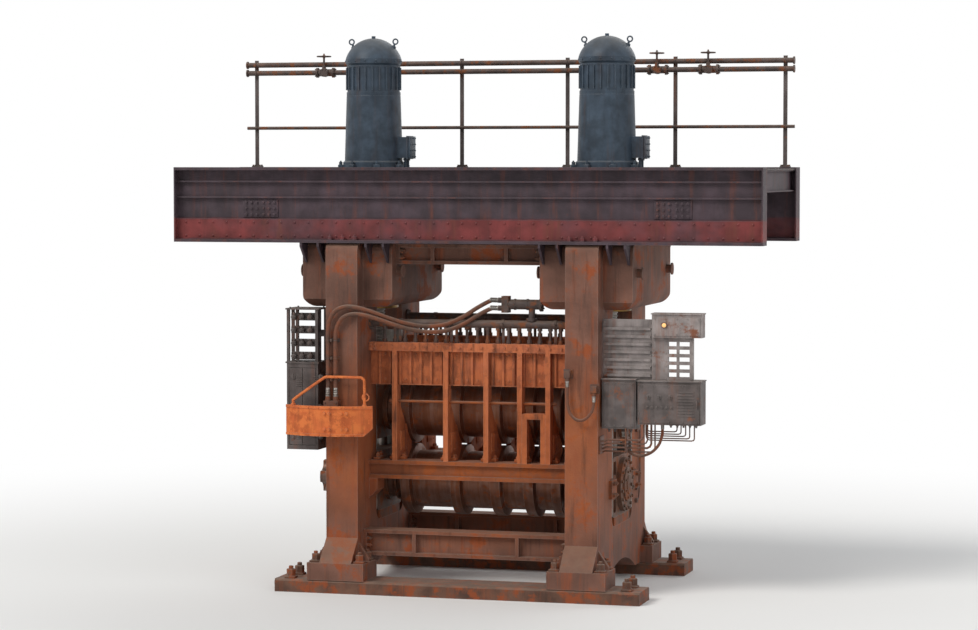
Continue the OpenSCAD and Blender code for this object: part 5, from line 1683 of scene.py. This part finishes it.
@dataclass
class WaterGear:
    """Flange bolts and saddles of the water headers, and clips of the supply hoses.

    Attributes:
        header: Radius of a header pipe.
        flange: Radius of its end flanges.
        flange_ring: Radius of the bolts on its end flanges.
        saddles: Places of the saddles along it.
        hoses: Places of the two supply hoses at the left post.
        post: Front face of the posts.
    """

    header: float = 0.057
    flange: float = 0.102
    flange_ring: float = 0.083
    saddles: Sequence[float] = (-1.05, -0.3, 0.45, 1.2)
    hoses: tuple[float, float] = (-1.89, -1.78)
    post: float = -1.48

    def _header(self, face: str) -> None:
        """Adds the dress of one header."""
        low, high = corners(f"spray_header_{face}")
        z = high.z - self.flange
        y = (low.y + high.y) / 2
        work = Work()
        for m in (-1, 1):
            at = Vector((m * (high.x - 0.03), y, z))
            Fastener.BOLT.add(work, around(at, X_AXIS, self.flange_ring, 8, 22.5), (-m, 0, 0), 0.022)
        for x in self.saddles:
            work.turned([(self.header - 0.004, -0.022), (self.header + 0.008, -0.022), (self.header + 0.008, 0.022),
                         (self.header - 0.004, 0.022)], (x, y, z), X_AXIS, 28)
            for m in (-1, 1):
                work.block((x - 0.018, y + m * 0.062, z - 0.012), (x + 0.018, y + m * 0.098, z + 0.012), 0.003)
                Fastener.BOLT.add(work, [(x, y + m * 0.082, z + 0.012)], UP, 0.018)
            work.block((x - 0.02, y - 0.006, low.z - 0.002), (x + 0.02, y + 0.006, z - self.header), 0.002)
        work.end(f"header_fittings_{face}", "pipe_steel")

    def _branch(self) -> None:
        """Adds the bolts of the branch pipe's blind flange and manifold block."""
        work = Work()
        at = Vector((1.01, -0.87, 4.0))
        Fastener.BOLT.add(work, around(at, X_AXIS, 0.078, 8), X_AXIS, 0.022)
        corners_of = [(x, -0.94, 4.0 + z) for x in (0.455, 0.525) for z in (-0.095, 0.0, 0.095)]
        Fastener.SOCKET.add(work, corners_of, FRONT, 0.02)
        for x, z in ((0.62, 4.0), (0.8, 4.0)):
            work.turned([(0.066, -0.012), (0.078, -0.012), (0.078, 0.012), (0.066, 0.012)], (x, -0.87, z), X_AXIS, 28)
        work.end("branch_pipe_bolts", "pipe_steel")

    def _hose_clips(self) -> None:
        """Adds clips that hold the two supply hoses to the left post, and the bolts of their block."""
        work = Work()
        hoses, face = self.hoses, self.post
        for z in (2.95, 3.25, 3.5):
            work.block((hoses[0] - 0.045, face - 0.038, z - 0.025), (hoses[1] + 0.045, face, z + 0.025), 0.004)
            for x in hoses:
                work.hoop((x, face - 0.07, z), UP, 0.034, 0.005, 6, 24)
            between = (hoses[0] + hoses[1]) / 2
            work.block((between - 0.014, face - 0.1, z - 0.018), (between + 0.014, face - 0.03, z + 0.018), 0.003)
            Fastener.BOLT.add(work, [(between, face - 0.1, z)], FRONT, 0.022)
        block = [(x, face - 0.13, z) for x in (-1.915, -1.755) for z in (2.585, 2.635)]
        Fastener.SOCKET.add(work, block, FRONT, 0.024)
        for x, z in ((1.535, 3.0), (1.905, 2.8)):
            Fastener.BOLT.add(work, [(x + m * 0.052, -1.495, z + dz) for m in (-1, 1) for dz in (0.045, 0.145)],
                              FRONT, 0.018)
        work.end("hose_clips", "pipe_steel")

    def build(self) -> None:
        """Builds the water gear's small pieces."""
        for face in FACES:
            self._header(face)
        self._branch()
        self._hose_clips()


@dataclass
class RollRings:
    """Water thrower rings on the necks of both rolls, which turn with them.

    Attributes:
        neck: Radius of the necks.
        rise: Height of a ring over the neck.
        place: Distance of the rings from the centre plane.
    """

    neck: float = 0.27
    rise: float = 0.045
    place: float = 1.31

    def build(self) -> None:
        """Builds the rings of each roll on its own body."""
        for body in ("bottom_roll", "top_roll"):
            work = Work()
            n, top = self.neck, self.neck + self.rise
            for m in (-1, 1):
                at = Vector((m * self.place, 0, middle(body).z))
                work.turned([(n - 0.003, -0.03), (top - 0.02, -0.03), (top, -0.012), (top, 0.012), (top - 0.02, 0.03),
                             (n - 0.003, 0.03)], at, X_AXIS, 64)
            work.end(f"thrower_rings_{body}", "roll_iron", body)


# Deck


@dataclass
class DeckGear:
    """Splices, bolts and brackets of the deck girders, and bolts of the plates.

    Attributes:
        web: Distance of the girders' outer web faces from the centre plane.
        band: Distance of the outer face of the foot band.
        splices: Places of the web splices.
        bracket: Thickness of a bracket under the girders.
    """

    web: float = 1.342
    band: float = 1.39
    splices: Sequence[float] = (-2.95, 2.95)
    bracket: float = 0.03

    def _gusset(self, work: Work, x: float, s: int, top: float) -> None:
        """Adds one triangular bracket between a crown and a girder."""
        outline = ((1.475, 0.0), (1.475, -0.05), (1.24, -0.28), (1.2, -0.28), (1.2, 0.0))
        work.wedge([(x - self.bracket / 2, s * y, top + z) for y, z in outline], self.bracket)

    def _girder(self, face: str, s: int) -> None:
        """Adds the dress of one girder."""
        low, high = corners(f"deck_girder_{face}")
        work = Work()
        for z in (low.z + 0.09, low.z + 0.28):
            row = [(x, s * self.band, z) for x in spaced(low.x + 0.15, high.x - 0.15, 41)]
            Fastener.RIVET.add(work, row, (0, s, 0), 0.036)
        for x in self.splices:
            work.block((x - 0.26, s * (self.web - 0.002), low.z + 0.35),
                       (x + 0.26, s * (self.web + 0.016), low.z + 0.6), 0.004)
            bolts = [(x + dx, s * (self.web + 0.016), low.z + dz)
                     for dx in (-0.21, -0.13, -0.05, 0.05, 0.13, 0.21) for dz in (0.39, 0.475, 0.56)]
            Fastener.BOLT.add(work, bolts, (0, s, 0), 0.034)
        for side in SIDES:
            mid = middle(f"pressure_screw_{side}").x
            for dx in (-0.6, -0.35, 0.35, 0.6):
                self._gusset(work, mid + dx, s, low.z)
            nuts = [(mid + dx, s * 1.44, low.z + 0.04) for dx in (-0.18, 0.0, 0.18)]
            Fastener.NUT.add(work, nuts, UP, 0.06)
        work.end(f"girder_bolts_{face}", "deck_paint")

    def _plates(self) -> None:
        """Adds the countersunk bolts of the deck plates and two lifting rings in each."""
        low, high = corners("deck_plates")
        work = Work()
        for x in (-4.1, -3.25, -2.4, -1.0, 0.0, 1.0, 2.4, 3.25, 4.1):
            for y in spaced(low.y + 0.12, high.y - 0.12, 9):
                if abs(abs(x) - 1.715) > 0.5 or abs(y) > 0.5:
                    Fastener.RIVET.add(work, [(x + 0.035, y, high.z - 0.006)], UP, 0.03)
        for x in (-3.7, -0.5, 0.5, 3.7):
            for y in (-0.75, 0.75):
                work.hoop((x, y, high.z + 0.008), UP, 0.045, 0.007, 6, 20)
        work.end("deck_plate_bolts", "deck_plate_steel")

    def build(self) -> None:
        """Builds the deck's small pieces."""
        for face, s in FACES.items():
            self._girder(face, s)
        self._plates()


@dataclass
class PipeRun:
    """Clamps, flange bolts and base bolts of the pipe run on the deck.

    Attributes:
        posts: Places of the posts along the deck.
        pipes: Distance from the centre plane, height and radius of each pipe.
        valves: Places of the valves.
    """

    posts: Sequence[float] = (-4.0, -2.4, -0.8, 0.8, 2.4, 4.0)
    pipes: Sequence[tuple[float, float, float]] = ((1.3517, 7.3, 0.038), (1.3517, 7.42, 0.038), (1.3657, 6.48, 0.024))
    valves: Sequence[float] = (-2.9, 2.15, 2.9)

    def build(self) -> None:
        """Builds the run's small pieces."""
        work = Work()
        deck = corners("deck_girder_front")[1].z
        for x in self.posts:
            for y, z, r in self.pipes:
                work.hoop((x + 0.012, y, z), X_AXIS, r + 0.005, 0.005, 6, 28)
                Fastener.NUT.add(work, [(x + 0.012, 1.398, z + m * (r + 0.005)) for m in (-1, 1)], Y_AXIS, 0.018)
            Fastener.BOLT.add(work, [(x + m * 0.05, y, deck + 0.016) for m in (-1, 1) for y in (1.365, 1.455)], UP,
                              0.026)
        y, z, r = self.pipes[0]
        for x in self.valves:
            for m in (-1, 1):
                face = Vector((x + m * 0.14, y, z))
                Fastener.NUT.add(work, around(face, X_AXIS, r + 0.02, 6), m * X_AXIS, 0.016)
                Fastener.BOLT.add(work, around(face - m * 0.03 * X_AXIS, X_AXIS, r + 0.028, 6, 30), -m * X_AXIS, 0.012)
            front = Vector((x, y - 0.103, z))
            Fastener.BOLT.add(work, around(front, Y_AXIS, 0.05, 6), -Y_AXIS, 0.014)
            work.turned([(0.012, 0), (0.012, 0.02), (0, 0.026)], (x, y - 0.073, z + 0.258), UP, 8)
        work.end("pipe_run_clamps", "pipe_steel")


# Side equipment


@dataclass
class Cabinet:
    """Hinges, handles, gauges and pipes of the valve cabinet.

    Attributes:
        centre: Middle of the cabinet across the stand.
        front: Front face of its doors.
        hinge: Radius of a hinge.
        gauge: Radius of a gauge.
        rows: Heights of the valve rows' middles.
        line: Radius of the thin pipes.
        post: Outer face of the post that they lead to.
        gauges: Place of each gauge across the stand, and the turn of its needle.
    """

    centre: float = -2.33
    front: float = -1.37
    hinge: float = 0.011
    gauge: float = 0.05
    rows: Sequence[float] = (3.26, 3.4425, 3.625, 3.8075)
    line: float = 0.008
    post: float = -1.945
    gauges: Sequence[tuple[float, float]] = ((-1.84, 0.6), (-1.62, -0.9))

    def _doors(self, work: Work, low: Vector, high: Vector) -> None:
        """Adds hinges, lever handles and slatted vents."""
        mid, front = (low.x + high.x) / 2, self.front
        for m in (-1, 1):
            edge = mid + m * 0.2
            for z in (2.14, 2.555, 2.97):
                work.bar((edge, front - 0.008, z - 0.04), (edge, front - 0.008, z + 0.04), self.hinge, 12)
                work.block((edge - 0.03, front - 0.008, z - 0.032), (edge + 0.03, front + 0.002, z + 0.032), 0.001)
            x = mid + m * 0.035
            knob = [(0.016, 0), (0.016, 0.012), (0.009, 0.016), (0.009, 0.032), (0, 0.032)]
            work.turned(knob, (x, front, 2.56), FRONT, 12)
            work.block((x - 0.009, front - 0.042, 2.47), (x + 0.009, front - 0.028, 2.575), 0.003)
            panel = sorted((mid + m * 0.07, mid + m * 0.165))
            for z in (2.1, 2.84):
                for k in range(6):
                    work.block((panel[0], front - 0.008, z + k * 0.026),
                               (panel[1], front + 0.002, z + k * 0.026 + 0.012), 0.002)

    def _rows(self, work: Work, mid: float) -> None:
        """Adds a cap, a plug and a gland to each solenoid, and the screws of each block."""
        for z in self.rows:
            for x in (mid - 0.12, mid, mid + 0.12):
                work.turned([(0.028, -0.002), (0.028, 0.016), (0.02, 0.022), (0.009, 0.022), (0.009, 0.034),
                             (0, 0.034)],
                            (x, -1.409, z), FRONT, 16)
                work.block((x - 0.014, -1.39, z + 0.03), (x + 0.014, -1.35, z + 0.062), 0.003)
                Fastener.SOCKET.add(work, [(x + 0.058, -1.32, z + dz) for dz in (-0.034, 0.034)], FRONT, 0.014)

    def _lines(self, high: Vector) -> None:
        """Adds the thin pipes that lead from the blocks to the post."""
        work = Work()
        for i, z in enumerate(self.rows):
            y = -1.24 + 0.024 * i
            x = high.x - 0.06
            post = self.post
            line = [(x, y, z - 0.02), (x + 0.05, y, z - 0.02), (x + 0.075, y, z - 0.045),
                    (x + 0.075, y, 3.3 - 0.045 * i),
                    (x + 0.1, y, 3.27 - 0.045 * i), (post + 0.006, y, 3.27 - 0.045 * i)]
            work.tube(line, self.line, 8)
            Fastener.SOCKET.add(work, [(post, y, 3.27 - 0.045 * i)], (-1, 0, 0), 0.022)
        work.end("cabinet_pipes", "pipe_steel")

    def _gauges(self) -> None:
        """Adds two gauges on the post's face beside the cabinet, with plain dials and needles."""
        rims, dials = Work(), Work()
        for x, tilt in self.gauges:
            at = Vector((x, -1.48, 2.36))
            rims.bar(at, at + Vector((0, -0.05, 0)), 0.016, 12)
            back = at + Vector((0, -0.05, 0))
            r = self.gauge
            rims.turned([(0, 0), (r, 0), (r, 0.026), (r - 0.004, 0.03), (r - 0.007, 0.03), (r - 0.007, 0.022)],
                        back, FRONT, 32)
            dials.turned([(r - 0.0072, 0.021), (r - 0.0072, 0.0225), (0, 0.0225)], back, FRONT, 32)
            needle = facing(FRONT, back) @ Matrix.Rotation(tilt, 4, "Z")
            rims.block((-0.0015, -0.008, 0.0235), (0.0015, 0.034, 0.025), 0, place=needle)
        rims.end("gauge_cases", "machine_paint")
        dials.end("gauge_dials", "machine_paint", finish=DIAL)

    def build(self) -> None:
        """Builds the cabinet's small pieces."""
        low, high = corners("valve_cabinet")
        mid = self.centre
        work = Work()
        self._doors(work, low, high)
        self._rows(work, mid)
        caps = [(mid + dx, y, 3.93) for dx in (-0.19, 0.19) for y in (-1.33, -0.99)]
        Fastener.BOLT.add(work, caps, UP, 0.022)
        arms = [(-2.02, -1.2 + dy, z) for dy in (0.03, 0.08) for z in (2.34, 3.62)]
        Fastener.BOLT.add(work, arms, UP, 0.022)
        work.end("cabinet_fittings", "machine_paint")
        self._lines(high)
        self._gauges()


@dataclass
class Rack:
    """Screws, switches, glands, lamp and bent pipes of the service rack.

    Attributes:
        switch: Lowest and highest corner of the switch box's front, across and up.
        trunk: The same of the trunking.
        junction: The same of the junction box.
        lamp: Centre of the small warm lamp.
        door: Front face of the switch box's door.
        lid: Front face of the other boxes' lids.
    """

    switch: tuple[float, float, float, float] = (2.495, 2.42, 3.345, 3.02)
    trunk: tuple[float, float, float, float] = (2.665, 3.6, 3.355, 3.93)
    junction: tuple[float, float, float, float] = (1.975, 2.35, 2.445, 3.036)
    lamp: Point = (2.84, -1.372, 3.77)
    door: float = -1.432
    lid: float = -1.372

    def _lid(self, work: Work, box: tuple[float, float, float, float], face: float, count: int) -> None:
        """Adds the screws of a lid."""
        x0, z0, x1, z1 = box
        screws = [(x, face, z) for x in spaced(x0 + 0.045, x1 - 0.045, count) for z in (z0 + 0.045, z1 - 0.075)]
        Fastener.SOCKET.add(work, screws, FRONT, 0.02)

    def _switches(self, work: Work) -> None:
        """Adds rotary switches, push buttons, a slotted vent and hinges to the switch box."""
        x0, z0, x1, _ = self.switch
        face = self.door
        for x in spaced(x0 + 0.14, x0 + 0.44, 3):
            grip = [(0.034, 0), (0.034, 0.01), (0.024, 0.014), (0.024, 0.022), (0, 0.022)]
            work.turned(grip, (x, face, z0 + 0.38), FRONT, 20)
            work.block((x - 0.007, face - 0.042, z0 + 0.355), (x + 0.007, face - 0.018, z0 + 0.405), 0.002)
        for x in spaced(x0 + 0.12, x0 + 0.46, 6):
            work.turned([(0.02, 0), (0.02, 0.008), (0.014, 0.008), (0.014, 0.018), (0.011, 0.021), (0, 0.021)],
                        (x, face, z0 + 0.24), FRONT, 14)
        for k in range(9):
            work.block((x0 + 0.54, face - 0.008, z0 + 0.12 + k * 0.04),
                       (x1 - 0.08, face + 0.002, z0 + 0.138 + k * 0.04), 0.002)
        for z in (z0 + 0.1, z0 + 0.45):
            work.bar((x0 + 0.012, face + 0.004, z), (x0 + 0.012, face + 0.004, z + 0.07), 0.01, 10)
        work.block((x1 - 0.05, face - 0.03, z0 + 0.24), (x1 - 0.03, face, z0 + 0.34), 0.004)

    def _panel(self, work: Work) -> None:
        """Adds the screws of the ribbed panel and of the grille."""
        screws = [(x, -1.24 - 0.03, z) for x in (1.985, 2.635) for z in spaced(3.06, 3.8, 6)]
        Fastener.BOLT.add(work, screws, FRONT, 0.02)
        screws = [(x, -1.3, z) for x in (2.69, 2.845, 3.2) for z in spaced(3.04, 3.57, 4)]
        Fastener.BOLT.add(work, screws, FRONT, 0.018)
        rails = [(x, -1.241, z) for x in (3.26, 3.22) for z in (2.75, 2.81)]
        Fastener.BOLT.add(work, rails, FRONT, 0.022)

    def _glands(self, work: Work) -> None:
        """Adds cable glands with capped stubs under the boxes."""
        boxes = [(x, -1.2, 2.42) for x in spaced(2.9, 3.25, 5)] + [(x, -1.28, 2.35) for x in (2.06, 2.14, 2.36)]
        for x, y, z in boxes:
            work.turned([(0, 0), (0.014, 0), (0.014, 0.02), (0.024, 0.024), (0.024, 0.052)], (x, y, z - 0.05), UP, 6)

    def _pipes(self) -> None:
        """Adds the bent thin pipes between the boxes and the post, with their clips."""
        work = Work()
        for i in range(4):
            x, y, drop = 2.56 + 0.045 * i, -1.36 + 0.03 * i, 2.2 - 0.055 * i
            line = [(x, y, 2.43), (x, y, drop + 0.06), (x - 0.02, y, drop + 0.02), (x - 0.06, y, drop),
                    (2.06 - 0.02 * i, y, drop), (2.02 - 0.02 * i, y + 0.005, drop - 0.02),
                    (1.93, -1.4 + 0.06 * i, drop - 0.03)]
            work.tube(line, 0.011 if i % 2 else 0.015, 8)
        work.block((1.945, -1.42, 2.0), (1.965, -1.17, 2.24), 0.004)
        work.block((2.3, -1.39, 2.02), (2.32, -1.25, 2.36), 0.003)
        for i in range(5):
            x, y = 2.98 + 0.06 * i, -1.18 - 0.02 * (i % 2)
            drop = 2.31 - 0.03 * i
            line = [(x, y, 2.43), (x, y, drop + 0.03), (x - 0.012, y + 0.005, drop + 0.008), (x - 0.04, y + 0.01, drop),
                    (2.6, y + 0.01, drop), (2.565, y + 0.01, drop + 0.012), (2.55, y + 0.01, drop + 0.045),
                    (2.55, y + 0.01, 2.43)]
            work.tube(line, 0.009, 8)
        work.end("rack_pipes", "pipe_steel")

    def _lamp(self) -> None:
        """Adds the small lamp on the trunking, a collar and a glowing lens."""
        collar, lens = Work(), Work()
        collar.turned([(0.042, 0), (0.042, 0.012), (0.034, 0.02), (0.03, 0.02)], self.lamp, FRONT, 20)
        lens.turned([(0.03, 0.004), (0.03, 0.022), (0.024, 0.034), (0.012, 0.041), (0, 0.042)], self.lamp, FRONT, 20)
        collar.end("lamp_collar", "machine_paint")
        lens.end("lamp_lens", "machine_paint", finish=LENS)

    def build(self) -> None:
        """Builds the rack's small pieces."""
        work = Work()
        self._lid(work, self.switch, self.door, 5)
        self._lid(work, self.trunk, self.lid, 5)
        self._lid(work, self.junction, self.lid, 4)
        self._switches(work)
        self._panel(work)
        self._glands(work)
        work.end("rack_fittings", "machine_paint", finish=RACK)
        self._pipes()
        self._lamp()


@dataclass
class GuardDress:
    """Bolts of the entry guard, feet and a hanging ring on its rail.

    Attributes:
        centre: Middle of the guard across the stand.
        radius: Radius of its bow.
        front: Distance of its foremost line from the centre plane.
        arms: Places of the arms behind it.
        heights: Heights of the arms' middles.
    """

    centre: float = -1.86
    radius: float = 1.1925
    front: float = 1.78
    arms: Sequence[float] = (-1.835, -1.595)
    heights: Sequence[float] = (2.28, 2.5)

    def _face(self, x: float) -> Vector:
        """Gives the point of the guard's outer face at a place across the stand, at height 0."""
        return Vector((x, self.radius - self.front - math.sqrt(self.radius**2 - (x - self.centre) ** 2), 0))

    def build(self) -> None:
        """Builds the guard's small pieces."""
        work = Work()
        hub = Vector((self.centre, self.radius - self.front, 0))
        for x in self.arms:
            at = self._face(x)
            for z in self.heights:
                Fastener.BOLT.add(work, [at + Vector((m * 0.035, 0, z)) for m in (-1, 1)], at - hub, 0.036)
        for x in spaced(self.centre - 0.56, self.centre + 0.38, 7):
            at = self._face(x)
            out = (at - hub).normalized()
            Fastener.RIVET.add(work, [at + 0.014 * out + Vector((0, 0, z)) for z in (2.1975, 2.5825)], out, 0.03)
        for x in (-2.38, -1.34):
            at = Vector((x, -1.6113, 2.6))
            work.turned([(0.019, -0.03), (0.034, -0.03), (0.034, 0.012), (0.022, 0.024)], at, UP, 20)
        work.hoop((-1.322, -1.6113, 2.72), Y_AXIS, 0.048, 0.009, 8, 32)
        work.end("guard_bolts", "hot_side_steel", finish=GUARD)


def main() -> None:
    """Builds the stand's looks in order."""
    logging.basicConfig(level=logging.INFO, format="%(message)s")
    studio = Studio()
    studio.camera()
    studio.floor()
    studio.light()
    HoseSet().build()
    dress_nodes()
    for part in (
        Foundation(), Housings(), ChockCovers(), RollRings(), ScrewdownDrive(), GuideGear(), WaterGear(),
        DeckGear(), PipeRun(), Cabinet(), Rack(), GuardDress(), ScaleLitter(),
    ):
        part.build()


if __name__ == "__main__":
    main()
